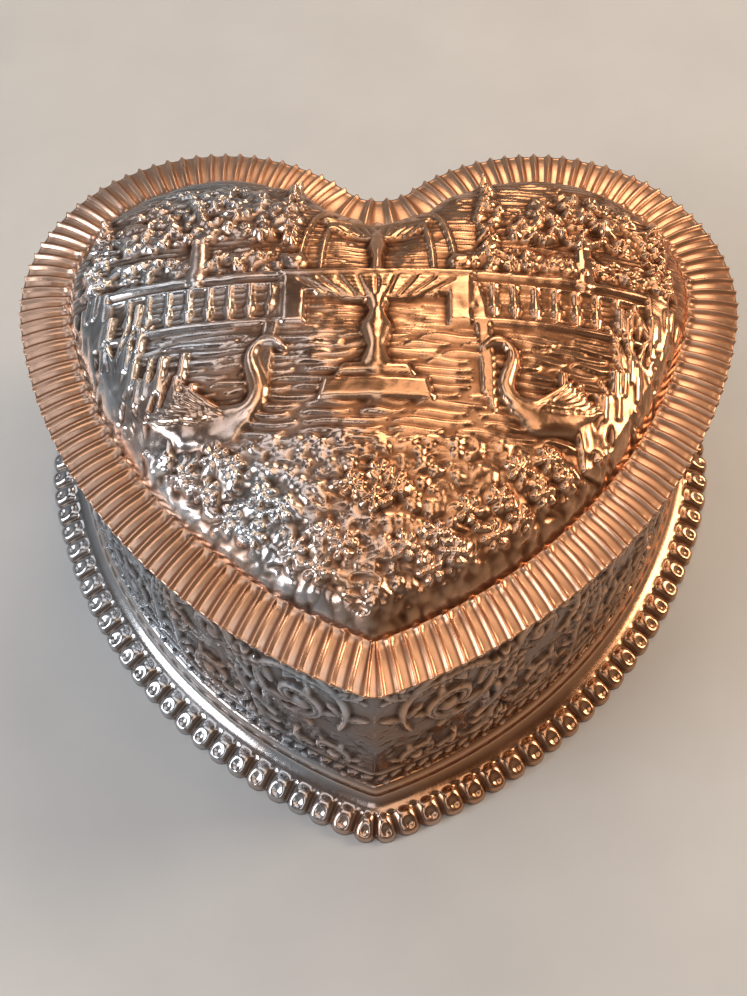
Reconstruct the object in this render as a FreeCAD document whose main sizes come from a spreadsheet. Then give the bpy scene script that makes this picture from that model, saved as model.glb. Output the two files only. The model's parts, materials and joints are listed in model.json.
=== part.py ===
"""Heart-shaped wind-up music box with a hinged lid, a lined tray and a pinned-cylinder movement.

The frame has +Z up, the tip of the heart towards -Y, and its origin on the table under the middle of the
foot. Lengths are millimetres and angles are degrees.
"""
import FreeCAD, Part
import math
import os

import Sketcher
from FreeCAD import Placement, Rotation, Vector

SIZES = {
    # Heart outline of the wall's outer face, measured from the line through the lobe centres
    "lobe_x": 27.5,
    "lobe_radius": 28.5,
    "flank_radius": 88.0,
    "flank_angle": -12.56,
    "tip_radius": 2.0,
    "notch_radius": 12.0,
    # Wall, foot and floor
    "wall_thick": 0.8,
    "wall_top": 50.0,
    "flange_reach": 7.6,
    "flange_edge": 1.6,
    "flange_top": 7.0,
    "flange_thick": 0.9,
    "flange_land": 1.4,
    "cove_reach": 3.6,
    "cove_height": 2.9,
    "bead_reach": 1.0,
    "bead_height": 4.6,
    "scallop_count": 90,
    "crease_radius": 0.7,
    "crease_tip_radius": 0.35,
    "key_room": 10.5,
    "floor_thick": 1.0,
    # Lid
    "lid_overhang": 4.0,
    "rim_width": 8.4,
    "rim_thick": 1.2,
    "lid_sheet": 0.8,
    "dome_height": 14.0,
    "dome_centre": 12.0,
    "dome_tip_radius": 1.5,
    "flute_count": 138,
    "flute_depth": 0.45,
    "flute_land": 1.2,
    "flute_width_share": 0.95,
    "flute_tip_share": 0.8,
    # Raised garden picture on the dome, drawn in its own unit, and raised scrolls on the wall
    "picture_unit": 1.0,
    "picture_relief": 1.5,
    "scroll_relief": 0.7,
    "scroll_sunk": 0.3,
    "scroll_foot": 5.4,
    "scroll_head": 2.0,
    "scroll_band_share": 0.3,
    "scroll_eye_share": 0.3,
    "scroll_unit": 1.0,
    "panel_count": 8,
    # Tray and linings
    "tray_level": 38.5,
    "tray_thick": 1.2,
    "pile_thick": 1.6,
    "side_pile": 1.0,
    "side_height": 8.8,
    "pile_gap": 0.3,
    "pile_tip_radius": 0.8,
    # Hinges
    "hinge_width": 12.0,
    "lid_knuckle": 3.8,
    "knuckle_gap": 0.1,
    "knuckle_radius": 1.5,
    "hinge_pin_radius": 0.7,
    "pin_end": 0.6,
    "leaf_thick": 0.6,
    "leaf_height": 6.5,
    "leaf_gap": 0.4,
    "hinge_stand": 1.8,
    "hinge_drop": 2.4,
    "stop_reach": 1.35,
    "stop_thick": 0.9,
    # Bed plate of the movement and its screws
    "barrel_x": -15.0,
    "barrel_y": -6.5,
    "post_height": 3.0,
    "post_radius": 2.4,
    "post_inset": 3.2,
    "bed_thick": 1.6,
    "bed_margin": 1.0,
    "screw_radius": 0.9,
    "screw_head": 1.8,
    "head_thick": 1.1,
    # Fits
    "running_gap": 0.05,
    "side_gap": 0.7,
    "mesh_gap": 0.1,
    "end_play": 0.4,
    # Key, arbor, ratchet and click
    "key_clear": 1.8,
    "key_height": 6.4,
    "key_reach": 8.6,
    "key_thick": 1.7,
    "key_hole": 1.7,
    "hub_radius": 3.2,
    "hub_height": 7.4,
    "arbor_radius": 2.0,
    "arbor_head": 3.0,
    "arbor_hole_gap": 0.6,
    "ratchet_radius": 6.0,
    "ratchet_teeth": 16,
    "ratchet_depth": 0.9,
    "ratchet_thick": 1.2,
    "click_gap": 0.3,
    "click_arm": 8.0,
    "click_lead": 2.0,
    "click_width": 1.6,
    "click_nose": 1.1,
    "click_boss": 1.6,
    # Spring barrel
    "train_module": 0.675,
    "barrel_teeth": 40,
    "gear_thick": 1.5,
    "cup_radius": 11.2,
    "cup_thick": 0.8,
    "cup_height": 10.5,
    "cover_thick": 1.0,
    "spring_turns": 6,
    "spring_thick": 0.45,
    # Pinned cylinder
    "contrate_teeth": 20,
    "contrate_pin": 0.28,
    "contrate_pin_length": 1.3,
    "contrate_pin_root": 0.2,
    "contrate_thick": 1.2,
    "cylinder_radius": 6.2,
    "cylinder_length": 16.0,
    "tune_pin_radius": 0.2,
    "tune_pin_height": 0.5,
    "tune_pin_root": 0.5,
    "cylinder_arbor_radius": 1.0,
    "bracket_thick": 1.4,
    "bracket_margin": 3.0,
    # Comb
    "comb_teeth": 18,
    "comb_slit": 0.16,
    "comb_thick": 0.9,
    "comb_tooth": 6.0,
    "comb_base": 7.0,
    "comb_gap": 0.15,
    # Governor
    "wheel_module": 0.48,
    "wheel_teeth": 30,
    "pinion_teeth": 10,
    "wheel_thick": 1.4,
    "governor_arbor_radius": 0.6,
    "worm_module": 0.4,
    "worm_teeth": 20,
    "worm_wheel_thick": 1.0,
    "worm_radius": 1.2,
    "worm_turns": 4,
    "thread_share": 0.17,
    "fly_shaft_radius": 0.7,
    "fly_pivot_radius": 0.45,
    "fly_radius": 4.5,
    "fly_height": 3.6,
    "fly_thick": 0.6,
    "frame_thick": 1.2,
    # Stop rod worked by the lid
    "rod_radius": 0.7,
    "rod_rise": 4.0,
    "rod_grip": 2.0,
    "shoe_reach": 1.7,
    "shoe_width": 1.2,
}

# Height and depth of a gear tooth over and under its pitch circle, in modules, and its widths in pitches
ADDENDUM = 0.75
DEDENDUM = 1.1
TIP_WIDTH = 0.24
ROOT_WIDTH = 0.5

# Tune: fewest pins on a track, turn in degrees from one track's first pin to the next, and the comb's screws
LEAST_NOTES = 3
TRACK_TURN = 77
COMB_SCREW_SHARES = (0.2, 0.8)

# Places that follow from the sizes, each one an expression on the sheet or on the places above it
PLACES = {
    "flank_x": "Sizes.lobe_x - (Sizes.flank_radius - Sizes.lobe_radius) * cos(Sizes.flank_angle)",
    "flank_y": "-(Sizes.flank_radius - Sizes.lobe_radius) * sin(Sizes.flank_angle)",
    "heart_back": "Sizes.lobe_radius + Sizes.flange_reach",
    "heart_front": "sqrt((Sizes.flank_radius - Sizes.tip_radius)^2 - Places.flank_x^2) - Places.flank_y"
                   " + Sizes.tip_radius + Sizes.flange_reach",
    "heart_y": "(Places.heart_front - Places.heart_back) / 2",
    "wall_back": "Places.heart_y + Sizes.lobe_radius",
    "rim_top": "Sizes.wall_top + Sizes.rim_thick",
    "dome_offset": "Sizes.lid_overhang - Sizes.rim_width",
    "floor_top": "Sizes.key_room + Sizes.floor_thick",
    "tray_top": "Sizes.tray_level + Sizes.tray_thick",
    "lining_offset": "-Sizes.wall_thick - Sizes.side_pile - Sizes.pile_gap",
    "hinge_y": "Places.wall_back + Sizes.hinge_stand",
    "hinge_z": "Sizes.wall_top - Sizes.hinge_drop",
    "barrel_y": "Places.heart_y + Sizes.barrel_y",
    "bed_bottom": "Places.floor_top + Sizes.post_height",
    "bed_top": "Places.bed_bottom + Sizes.bed_thick",
    "barrel_radius": "Sizes.train_module * Sizes.barrel_teeth / 2",
    "barrel_tip": f"Places.barrel_radius + {ADDENDUM} * Sizes.train_module",
    "barrel_bottom": "Places.bed_top + Sizes.end_play",
    "cup_top": "Places.barrel_bottom + Sizes.cup_height",
    "contrate_radius": "Sizes.train_module * Sizes.contrate_teeth / 2",
    "axis_z": "Places.barrel_bottom + Sizes.gear_thick / 2 + Places.contrate_radius",
    "contrate_x": "Sizes.barrel_x + Places.barrel_tip + Sizes.click_gap",
    "left_bracket_x": "Places.contrate_x + Sizes.contrate_thick + Sizes.side_gap",
    "cylinder_x": "Places.left_bracket_x + Sizes.bracket_thick + Sizes.side_gap",
    "wheel_x": "Places.cylinder_x + Sizes.cylinder_length + Sizes.side_gap",
    "right_bracket_x": "Places.wheel_x + Sizes.wheel_thick + Sizes.side_gap",
    "wheel_radius": "Sizes.wheel_module * Sizes.wheel_teeth / 2",
    "pinion_radius": "Sizes.wheel_module * Sizes.pinion_teeth / 2",
    "worm_wheel_radius": "Sizes.worm_module * Sizes.worm_teeth / 2",
    "worm_lead": "pi * Sizes.worm_module",
    "governor_y": "Places.barrel_y + Places.wheel_radius + Places.pinion_radius + Sizes.mesh_gap",
    "worm_wheel_x": "Places.right_bracket_x + Sizes.bracket_thick + Sizes.side_gap",
    "cheek_x": "Places.worm_wheel_x + Sizes.worm_wheel_thick + Sizes.side_gap",
    "fly_x": "Places.worm_wheel_x + Sizes.worm_wheel_thick / 2",
    "fly_y": "Places.governor_y + Places.worm_wheel_radius + Sizes.worm_radius + Sizes.mesh_gap",
    "worm_wheel_tip": f"Places.worm_wheel_radius + {ADDENDUM} * Sizes.worm_module",
    "fly_bottom": "Places.axis_z + Places.worm_wheel_tip + Sizes.end_play",
    "fly_top": "Places.fly_bottom + Sizes.fly_height",
    "arm_z": "Places.fly_top + Sizes.side_gap",
    "base_top": "Places.bed_top + Sizes.frame_thick",
    "column_y": "Places.fly_y + Sizes.fly_radius + Sizes.side_gap",
    "rod_x": "Places.fly_x + Sizes.fly_radius + Sizes.click_gap + Sizes.shoe_reach",
    "comb_tip": "Places.barrel_y - Sizes.cylinder_radius - Sizes.tune_pin_height - Sizes.comb_gap",
    "seat_y": "Places.comb_tip - Sizes.comb_tooth",
    "comb_end": "Places.seat_y - Sizes.comb_base",
    "bed_left": "Sizes.barrel_x - Places.barrel_tip - Sizes.bed_margin",
    "bed_right": "Places.rod_x + Sizes.rod_radius * 3 + Sizes.bed_margin",
    "bed_front": "Places.comb_end - Sizes.bed_margin",
    "bed_back": "Places.barrel_y + Places.barrel_tip + Sizes.bed_margin",
    "ratchet_z": "Places.bed_bottom - Sizes.end_play - Sizes.ratchet_thick",
    "click_tip": "Sizes.barrel_x + Sizes.ratchet_radius + Sizes.click_gap",
    "click_x": "Places.click_tip + Sizes.click_nose + Sizes.click_width / 2",
    "click_y": "Places.barrel_y - Sizes.click_arm + Sizes.click_lead",
    "arbor_top": "Places.cup_top + Sizes.cover_thick + Sizes.click_gap",
}

# Turns that lay a shape made along +Z along another axis
TURNS = {
    "x": Rotation(Vector(0, 1, 0), 90),
    "y": Rotation(Vector(1, 0, 0), -90),
    "z": Rotation(),
}

# Height of the dome over its foot: shares of the foot's outline, and the curve's two powers
DOME_SHARES = (1.0, 0.985, 0.95, 0.87, 0.72, 0.5, 0.25, 0.1)
DOME_POWER = 2.2
DOME_ROUND = 0.6

# Scrolls of one panel of the wall: share of the panel's length, height over the wall's foot, and radius
SCROLLS = ((0.33, 24.0, 11.0), (0.73, 30.0, 9.0), (0.75, 13.0, 8.5))

# Garden picture, in picture units from the middle of the lobes: railing, fountain, trees, birds and bushes
RAIL_LOW = -15.0
RAIL_HIGH = -6.0
RAIL_START = 13.0
RAIL_END = 43.0
RAIL_WIDTH = 1.6
POST_WIDTH = 4.0
POST_OVER = 1.0
BALUSTER_PITCH = 3.3
BALUSTERS = 8
PLINTH_Y = -28.0
PLINTH_REACH = 9.0
LOW_BOWL = (-6.5, 14.5, 4.6)
HIGH_BOWL = (6.0, 8.0, 3.0)
LOW_STEM = 4.4
HIGH_STEM = 2.6
TREES = ((-29.0, 17.0, 12.0), (33.0, 16.0, 10.0))
CLUMPS = ((-0.75, 0.72, 0.5), (0.8, 0.75, 0.5), (-0.3, 1.02, 0.6), (0.4, 1.05, 0.55), (0.0, 0.75, 0.5))
TRUNK_WIDTH = 2.4
SWANS = ((-25.0, -33.0, 1.15, 1), (26.0, -31.0, 1.0, -1))
SWAN_NECK = ((4.2, 1.4), (6.2, 4.0), (5.8, 6.7), (5.1, 9.3), (6.2, 11.8))
SWAN_NECK_WIDTH = 1.9
SWAN_HEAD = (6.8, 11.7, 1.4)
SWAN_OVALS = ((-0.8, 0.8, 6.4, 3.1), (-2.6, 3.6, 4.4, 2.6))
BUSHES = ((25.0, -40.0, 4.2), (17.5, -47.0, 4.6), (8.0, -53.0, 4.2))

doc = FreeCAD.newDocument("MusicBox")
sheet = doc.addObject("Spreadsheet::Sheet", "Sizes")
for row, (alias, size) in enumerate(SIZES.items(), start=1):
    sheet.set(f"A{row}", str(size))
    sheet.setAlias(f"A{row}", alias)
doc.recompute()

places = doc.addObject("App::VarSet", "Places")
for place, rule in PLACES.items():
    places.addProperty("App::PropertyFloat", place)
    places.setExpression(place, rule)
doc.recompute()

subparts = {}


def number(expression):
    """Value of an expression on the sheet and the places."""
    found = sheet.evalExpression(str(expression))
    return float(getattr(found, "Value", found))


def publish(label, obj):
    """Name an object of the document as one piece of the music box."""
    obj.Label = label
    subparts[label] = obj
    return obj


def at(obj, x, y, z):
    """Bind the place of an object to three expressions."""
    for axis, expression in zip("xyz", (x, y, z)):
        obj.setExpression(f"Placement.Base.{axis}", str(expression))
    return obj


def box(size, corner):
    """Box from its least corner; sizes and corner are expressions."""
    obj = doc.addObject("Part::Box", "box")
    for side, expression in zip(("Length", "Width", "Height"), size):
        obj.setExpression(side, str(expression))
    return at(obj, *corner)


def rod(radius, length, start, axis="z"):
    """Cylinder from the centre of its first end, along +X, +Y or +Z."""
    obj = doc.addObject("Part::Cylinder", "rod")
    obj.setExpression("Radius", str(radius))
    obj.setExpression("Height", str(length))
    obj.Placement = Placement(Vector(), TURNS[axis])
    return at(obj, *start)


def fuse(*shapes):
    """One solid of several that overlap or touch."""
    obj = doc.addObject("Part::MultiFuse", "fuse")
    obj.Shapes = list(shapes)
    obj.Refine = True
    return obj


def cut(base, *tools):
    """A solid with the tools taken away from it."""
    obj = doc.addObject("Part::Cut", "cut")
    obj.Base = base
    obj.Tool = tools[0] if len(tools) == 1 else fuse(*tools)
    obj.Refine = True
    return obj


def group(*shapes):
    """Several separate solids that share one node."""
    obj = doc.addObject("Part::Compound", "group")
    obj.Links = list(shapes)
    return obj


def coded(shape, place=("0", "0", "0"), axis="z"):
    """A shape worked out by this file's own code from the sheet's values, made about the origin along +Z."""
    obj = doc.addObject("Part::Feature", "coded")
    obj.Shape = shape
    obj.Placement = Placement(Vector(), TURNS[axis])
    return at(obj, *place)


# Heart outline


def heart_arcs(offset, tip, scale=1.0):
    """Centre and radius of the arcs of a heart that stands off the wall's face by an offset."""
    flank_x = number("Places.flank_x")
    flank_y = number("Places.flank_y")
    lobe_x = number("Sizes.lobe_x")
    flank_radius = number("Sizes.flank_radius") + offset
    lobe_radius = number("Sizes.lobe_radius")
    notch_radius = number("Sizes.notch_radius")
    notch_y = math.sqrt((lobe_radius + notch_radius) ** 2 - lobe_x ** 2)
    tip_y = flank_y - math.sqrt((flank_radius - tip) ** 2 - flank_x ** 2)
    arcs = {
        "tip": (0.0, tip_y, tip),
        "flank": (flank_x, flank_y, flank_radius),
        "lobe": (lobe_x, 0.0, lobe_radius + offset),
        "notch": (0.0, notch_y, notch_radius - offset),
    }
    return {name: tuple(scale * value for value in arc) for name, arc in arcs.items()}


def heart_edges(offset, tip, scale=1.0):
    """The six arcs of a heart in order: tip, right flank, right lobe, notch, left lobe, left flank."""
    arcs = heart_arcs(offset, tip, scale)
    tip_x, tip_y, tip_r = arcs["tip"]
    flank_x, flank_y, flank_r = arcs["flank"]
    lobe_x, lobe_y, lobe_r = arcs["lobe"]
    notch_x, notch_y, notch_r = arcs["notch"]
    low = math.atan2(tip_y - flank_y, -flank_x)
    side = math.radians(number("Sizes.flank_angle"))
    inner = math.atan2(notch_y, -lobe_x)

    def arc(x, y, radius, start, end):
        return Part.ArcOfCircle(Part.Circle(Vector(x, y, 0), Vector(0, 0, 1), radius), start, end)

    return [
        arc(tip_x, tip_y, tip_r, -math.pi - low, low),
        arc(flank_x, flank_y, flank_r, low, side),
        arc(lobe_x, lobe_y, lobe_r, side, inner),
        arc(notch_x, notch_y, notch_r, -inner, inner - math.pi),
        arc(-lobe_x, lobe_y, lobe_r, math.pi - inner, math.pi - side),
        arc(-flank_x, flank_y, flank_r, math.pi - side, math.pi - low),
    ]


def add_heart(sketch, offset, tip, scale="1"):
    """Draw a heart in a sketch and bind its arcs to the sheet."""
    first = sketch.GeometryCount
    sketch.addGeometry(heart_edges(number(offset), number(tip), number(scale)), False)
    tip_arc, flank_r, lobe_r, notch, lobe_l, flank_l = range(first, first + 6)
    start, end, centre = 1, 2, 3
    joints = [
        (tip_arc, end, flank_r, start),
        (flank_r, end, lobe_r, start),
        (lobe_r, end, notch, end),
        (notch, start, lobe_l, start),
        (lobe_l, end, flank_l, start),
        (flank_l, end, tip_arc, start),
    ]
    for joint in joints:
        sketch.addConstraint(Sketcher.Constraint("Tangent", *joint))

    def bind(kind, ends, expression):
        index = sketch.addConstraint(Sketcher.Constraint(kind, *ends, number(expression)))
        sketch.setExpression(f"Constraints[{index}]", expression)

    bind("Radius", (tip_arc,), f"({tip}) * ({scale})")
    bind("Radius", (notch,), f"(Sizes.notch_radius - ({offset})) * ({scale})")
    for arc in (flank_r, flank_l):
        bind("Radius", (arc,), f"(Sizes.flank_radius + ({offset})) * ({scale})")
    for arc in (lobe_r, lobe_l):
        bind("Radius", (arc,), f"(Sizes.lobe_radius + ({offset})) * ({scale})")
        sketch.addConstraint(Sketcher.Constraint("PointOnObject", arc, centre, -1))
    sketch.addConstraint(Sketcher.Constraint("PointOnObject", tip_arc, centre, -2))
    bind("DistanceX", (-1, 1, lobe_r, centre), f"Sizes.lobe_x * ({scale})")
    bind("DistanceX", (lobe_l, centre, -1, 1), f"Sizes.lobe_x * ({scale})")
    bind("DistanceX", (flank_r, centre, -1, 1), f"-Places.flank_x * ({scale})")


def new_body(name):
    return doc.addObject("PartDesign::Body", name)


def heart_sketch(body, name, level, hearts, shift="0"):
    """Sketch of one or two hearts on a level plane; each heart is (offset, tip radius, scale)."""
    sketch = body.newObject("Sketcher::SketchObject", name)
    ground = next(plane for plane in body.Origin.OriginFeatures if plane.Role == "XY_Plane")
    sketch.AttachmentSupport = [(ground, "")]
    sketch.MapMode = "FlatFace"
    sketch.setExpression("AttachmentOffset.Base.y", f"Places.heart_y + ({shift})")
    sketch.setExpression("AttachmentOffset.Base.z", str(level))
    for heart in hearts:
        add_heart(sketch, *heart)
    return sketch


def around(offset):
    """A heart that keeps the same distance from the wall's face all round, tip included."""
    return (offset, f"Sizes.tip_radius + ({offset})", "1")


def heart_pad(name, level, height, hearts):
    """Plate or band with a heart outline."""
    body = new_body(name)
    pad = body.newObject("PartDesign::Pad", name + "_pad")
    pad.Profile = heart_sketch(body, name + "_outline", level, hearts)
    pad.setExpression("Length", str(height))
    return body


def heart_loft(body, name, kind, sections, ruled):
    """Loft through hearts; each section is (level, heart, shift)."""
    sketches = [heart_sketch(body, f"{name}_{index}", level, [heart], shift)
                for index, (level, heart, shift) in enumerate(sections)]
    loft = body.newObject(f"PartDesign::{kind}", name)
    loft.Profile = sketches[0]
    loft.Sections = sketches[1:]
    loft.Ruled = ruled
    return loft


def heart_stations(offset, count):
    """Evenly spaced points on a heart, each with its outward direction and the radius of its arc."""
    edges = heart_edges(offset, number("Sizes.tip_radius") + offset)
    spacing = sum(edge.length() for edge in edges) / count
    return [heart_point(edges, (index + 0.5) * spacing) for index in range(count)], spacing


def heart_point(edges, run):
    """Point at a length along a heart from its tip's middle, with its outward direction and arc radius."""
    run += edges[0].length() / 2
    for edge in edges + edges[:1]:
        if run <= edge.length():
            break
        run -= edge.length()
    inward = edge is edges[3]
    angle = edge.LastParameter - run / edge.Radius if inward else edge.FirstParameter + run / edge.Radius
    out = Vector(math.cos(angle), math.sin(angle), 0)
    point = edge.Center + out * edge.Radius + Vector(0, number("Places.heart_y"), 0)
    return point, -out if inward else out, edge.Radius


# Case


def foot_flange():
    """Flared foot: a thin shell whose scalloped edge stands on the table."""
    body = new_body("flange_shell")
    outer = [
        ("Sizes.flange_top", around("0"), "0"),
        ("Sizes.bead_height", around("Sizes.bead_reach"), "0"),
        ("Sizes.cove_height", around("Sizes.cove_reach"), "0"),
        ("Sizes.flange_edge", around("Sizes.flange_reach"), "0"),
        ("0", around("Sizes.flange_reach"), "0"),
    ]
    thick = "Sizes.flange_thick"
    inner = [
        ("Sizes.flange_top", around("-Sizes.wall_thick"), "0"),
        (f"Sizes.bead_height - {thick} / 2", around(f"Sizes.bead_reach - {thick}"), "0"),
        (f"Sizes.cove_height - {thick}", around(f"Sizes.cove_reach - {thick} / 2"), "0"),
        (f"Sizes.flange_edge - {thick}", around("Sizes.flange_reach - Sizes.flange_land"), "0"),
        ("0", around("Sizes.flange_reach - Sizes.flange_land"), "0"),
    ]
    heart_loft(body, "flange_outside", "AdditiveLoft", outer, True)
    heart_loft(body, "flange_inside", "SubtractiveLoft", inner, True)
    doc.recompute()
    reach = number("Sizes.flange_reach")
    fall = Vector(0, 0, number("Sizes.flange_edge - Sizes.cove_height"))
    run = reach - number("Sizes.cove_reach")
    stations, _ = heart_stations(reach, int(number("Sizes.scallop_count")))
    creases = []
    for point, out, _ in stations:
        slope = out * run + fall
        start = point - out * run + Vector(0, 0, number("Sizes.cove_height + Sizes.crease_radius / 3"))
        length = slope.Length + reach / 2
        creases.append(Part.makeCone(number("Sizes.crease_tip_radius"), number("Sizes.crease_radius"),
                                     length, start, slope))
    publish("foot_flange", coded(body.Shape.cut(creases)))


def scroll_places():
    """Middle, outward direction and radius of each scroll on the wall, mirrored from panel to panel."""
    edges = heart_edges(0, number("Sizes.tip_radius"))
    panels = int(number("Sizes.panel_count"))
    panel_length = sum(edge.length() for edge in edges) / panels
    unit = number("Sizes.scroll_unit")
    for panel in range(panels):
        for share, height, radius in SCROLLS:
            along = share if panel % 2 == 0 else 1 - share
            point, out, arc_radius = heart_point(edges, (panel + along) * panel_length)
            hinge_side = abs(abs(point.x) - number("Sizes.lobe_x"))
            clear = number("Sizes.hinge_width / 2") + radius * unit
            if arc_radius > number("Sizes.notch_radius") and (out.y < 0 or hinge_side > clear):
                yield point + Vector(0, 0, number("Sizes.flange_top") + height * unit), out, radius * unit


def wall_scrolls():
    """Raised rings with an eye, sunk a little into the wall's face."""
    low = "Sizes.flange_top + Sizes.scroll_foot"
    band = heart_pad("scroll_band", low, f"Sizes.wall_top - Sizes.scroll_head - ({low})",
                     [around("Sizes.scroll_relief"), around("-Sizes.scroll_sunk")])
    doc.recompute()
    rings = []
    for middle, out, radius in scroll_places():
        depth = radius / 2
        start = middle - out * depth

        def disc(share):
            return Part.makeCylinder(radius * share, depth * 2, start, out)

        rings.append(disc(1).cut(disc(1 - number("Sizes.scroll_band_share"))))
        rings.append(disc(number("Sizes.scroll_eye_share")))
    return [band.Shape.common(ring) for ring in rings]


def body_wall():
    """Wall with the main scrolls of its embossing."""
    band = [around("0"), around("-Sizes.wall_thick")]
    height = "Sizes.wall_top - Sizes.flange_top"
    wall = heart_pad("wall_band", "Sizes.flange_top", height, band)
    doc.recompute()
    publish("body_wall", coded(wall.Shape.fuse(wall_scrolls())))


def post_places():
    """Where the four posts under the bed plate stand."""
    inset = "Sizes.post_inset"
    return [(x, y)
            for x in (f"Places.bed_left + {inset}", f"Places.bed_right - {inset}")
            for y in (f"Places.bed_front + {inset}", f"Places.bed_back - {inset}")]


def floor_plate():
    plate = heart_pad("floor_blank", "Sizes.key_room", "Sizes.floor_thick", [around("-Sizes.wall_thick")])
    hole = rod("Sizes.arbor_radius + Sizes.arbor_hole_gap", "Sizes.floor_thick",
               ("Sizes.barrel_x", "Places.barrel_y", "Sizes.key_room"))
    screws = [rod("Sizes.screw_radius", "Sizes.floor_thick", (x, y, "Sizes.key_room"))
              for x, y in post_places()]
    publish("floor_plate", cut(plate, hole, *screws))


def tray():
    """Floor of the trinket tray, with its velvet pad and the velvet strip around the wall."""
    def rod_hole(level, height):
        return rod("Sizes.rod_radius + Sizes.pile_gap", height, ("Places.rod_x", "Places.fly_y", level))

    board = heart_pad("tray_blank", "Sizes.tray_level", "Sizes.tray_thick", [around("-Sizes.wall_thick")])
    publish("inner_tray", cut(board, rod_hole("Sizes.tray_level", "Sizes.tray_thick")))
    pad = heart_pad("pad_blank", "Places.tray_top", "Sizes.pile_thick",
                    [("Places.lining_offset", "Sizes.pile_tip_radius", "1")])
    publish("tray_lining", cut(pad, rod_hole("Places.tray_top", "Sizes.pile_thick")))
    strip = [around("-Sizes.wall_thick"), around("-Sizes.wall_thick - Sizes.side_pile")]
    publish("side_lining", heart_pad("side_strip", "Places.tray_top", "Sizes.side_height", strip))


# Lid


def dome_sections(offset, height):
    """Hearts that shrink towards the dome's centre as they rise."""
    sections = []
    for share in DOME_SHARES:
        rise = (1 - share ** DOME_POWER) ** DOME_ROUND
        heart = (offset, "Sizes.dome_tip_radius", str(share))
        level = f"Places.rim_top + ({height}) * {rise}"
        sections.append((level, heart, f"-Sizes.dome_centre * {1 - share}"))
    return sections


def dome_solid(name, sunk, height):
    """Full dome whose foot lies inside the dome's outline."""
    body = new_body(name)
    sections = dome_sections(f"Places.dome_offset - {sunk}", height)
    heart_loft(body, name + "_loft", "AdditiveLoft", sections, False)
    return body


def column(outline):
    """Upright prism over an outline of the picture, from the rim to above the dome."""
    face = Part.Face(Part.Wire(Part.__sortEdges__([edge.toShape() for edge in outline])))
    face.translate(Vector(0, number("Places.heart_y"), number("Places.rim_top")))
    return face.extrude(Vector(0, 0, number("Sizes.dome_height * 2")))


def spot(x, y):
    """A place of the picture, measured from the middle of the lobes."""
    return Vector(x, y, 0) * number("Sizes.picture_unit")


def bar_form(start, end, width):
    """Straight raised bar between two places of the picture."""
    a, b = spot(*start), spot(*end)
    side = (b - a).cross(Vector(0, 0, 1)).normalize() * number(f"Sizes.picture_unit * {width / 2}")
    corners = [a - side, a + side, b + side, b - side]
    return column([Part.LineSegment(p, q) for p, q in zip(corners, corners[1:] + corners[:1])])


def disc_form(x, y, radius):
    return column([Part.Circle(spot(x, y), Vector(0, 0, 1), number(f"Sizes.picture_unit * {radius}"))])


def oval_form(x, y, long_radius, short_radius):
    """Raised oval, longest across the picture."""
    return column([Part.Ellipse(spot(x + long_radius, y), spot(x, y + short_radius), spot(x, y))])


def bowl_form(level, reach, depth):
    """Fountain bowl: a level brim over a round belly."""
    left, right = spot(-reach, level), spot(reach, level)
    return column([Part.LineSegment(left, right), Part.Arc(left, spot(0, level - depth), right)])


def fountain_forms():
    """Two bowls on a stem and a plinth."""
    return [
        bar_form((-PLINTH_REACH, PLINTH_Y), (PLINTH_REACH, PLINTH_Y), POST_WIDTH),
        bar_form((0, PLINTH_Y), (0, LOW_BOWL[0] - LOW_BOWL[2] / 2), LOW_STEM),
        bowl_form(*LOW_BOWL),
        bar_form((0, LOW_BOWL[0] - LOW_BOWL[2] / 2), (0, HIGH_BOWL[0] - HIGH_BOWL[2] / 2), HIGH_STEM),
        bowl_form(*HIGH_BOWL),
    ]


def railing_forms(side):
    """Post, two rails and the balusters between them."""
    start, end = side * RAIL_START, side * RAIL_END
    forms = [bar_form((start, RAIL_LOW - POST_OVER), (start, RAIL_HIGH + POST_OVER), POST_WIDTH)]
    forms += [bar_form((start, level), (end, level), RAIL_WIDTH) for level in (RAIL_LOW, RAIL_HIGH)]
    for index in range(BALUSTERS):
        x = start + side * (POST_WIDTH + BALUSTER_PITCH * (index + 0.5))
        forms.append(bar_form((x, RAIL_LOW), (x, RAIL_HIGH), RAIL_WIDTH))
    return forms


def tree_forms(x, height, crown):
    """Trunk and the clumps of a crown."""
    forms = [disc_form(x + across * crown, RAIL_HIGH + up * height, share * crown)
             for across, up, share in CLUMPS]
    return forms + [bar_form((x, RAIL_HIGH), (x, RAIL_HIGH + height / 2), TRUNK_WIDTH)]


def swan_forms(x, y, size, facing):
    """Body, lifted wing, bent neck and head of a swimming bird."""
    def part(across, up):
        return x + facing * size * across, y + size * up

    neck = [part(*joint) for joint in SWAN_NECK]
    forms = [bar_form(start, end, SWAN_NECK_WIDTH * size) for start, end in zip(neck, neck[1:])]
    forms += [disc_form(*joint, SWAN_NECK_WIDTH * size / 2) for joint in neck[1:-1]]
    forms.append(disc_form(*part(*SWAN_HEAD[:2]), SWAN_HEAD[2] * size))
    for across, up, half_length, half_height in SWAN_OVALS:
        forms.append(oval_form(*part(across, up), half_length * size, half_height * size))
    return forms


def picture_forms():
    """Columns under everything that stands out in the garden picture."""
    forms = fountain_forms() + railing_forms(1) + railing_forms(-1)
    for tree in TREES:
        forms += tree_forms(*tree)
    for swan in SWANS:
        forms += swan_forms(*swan)
    return forms + [disc_form(side * x, y, radius) for x, y, radius in BUSHES for side in (-1, 1)]


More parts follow.
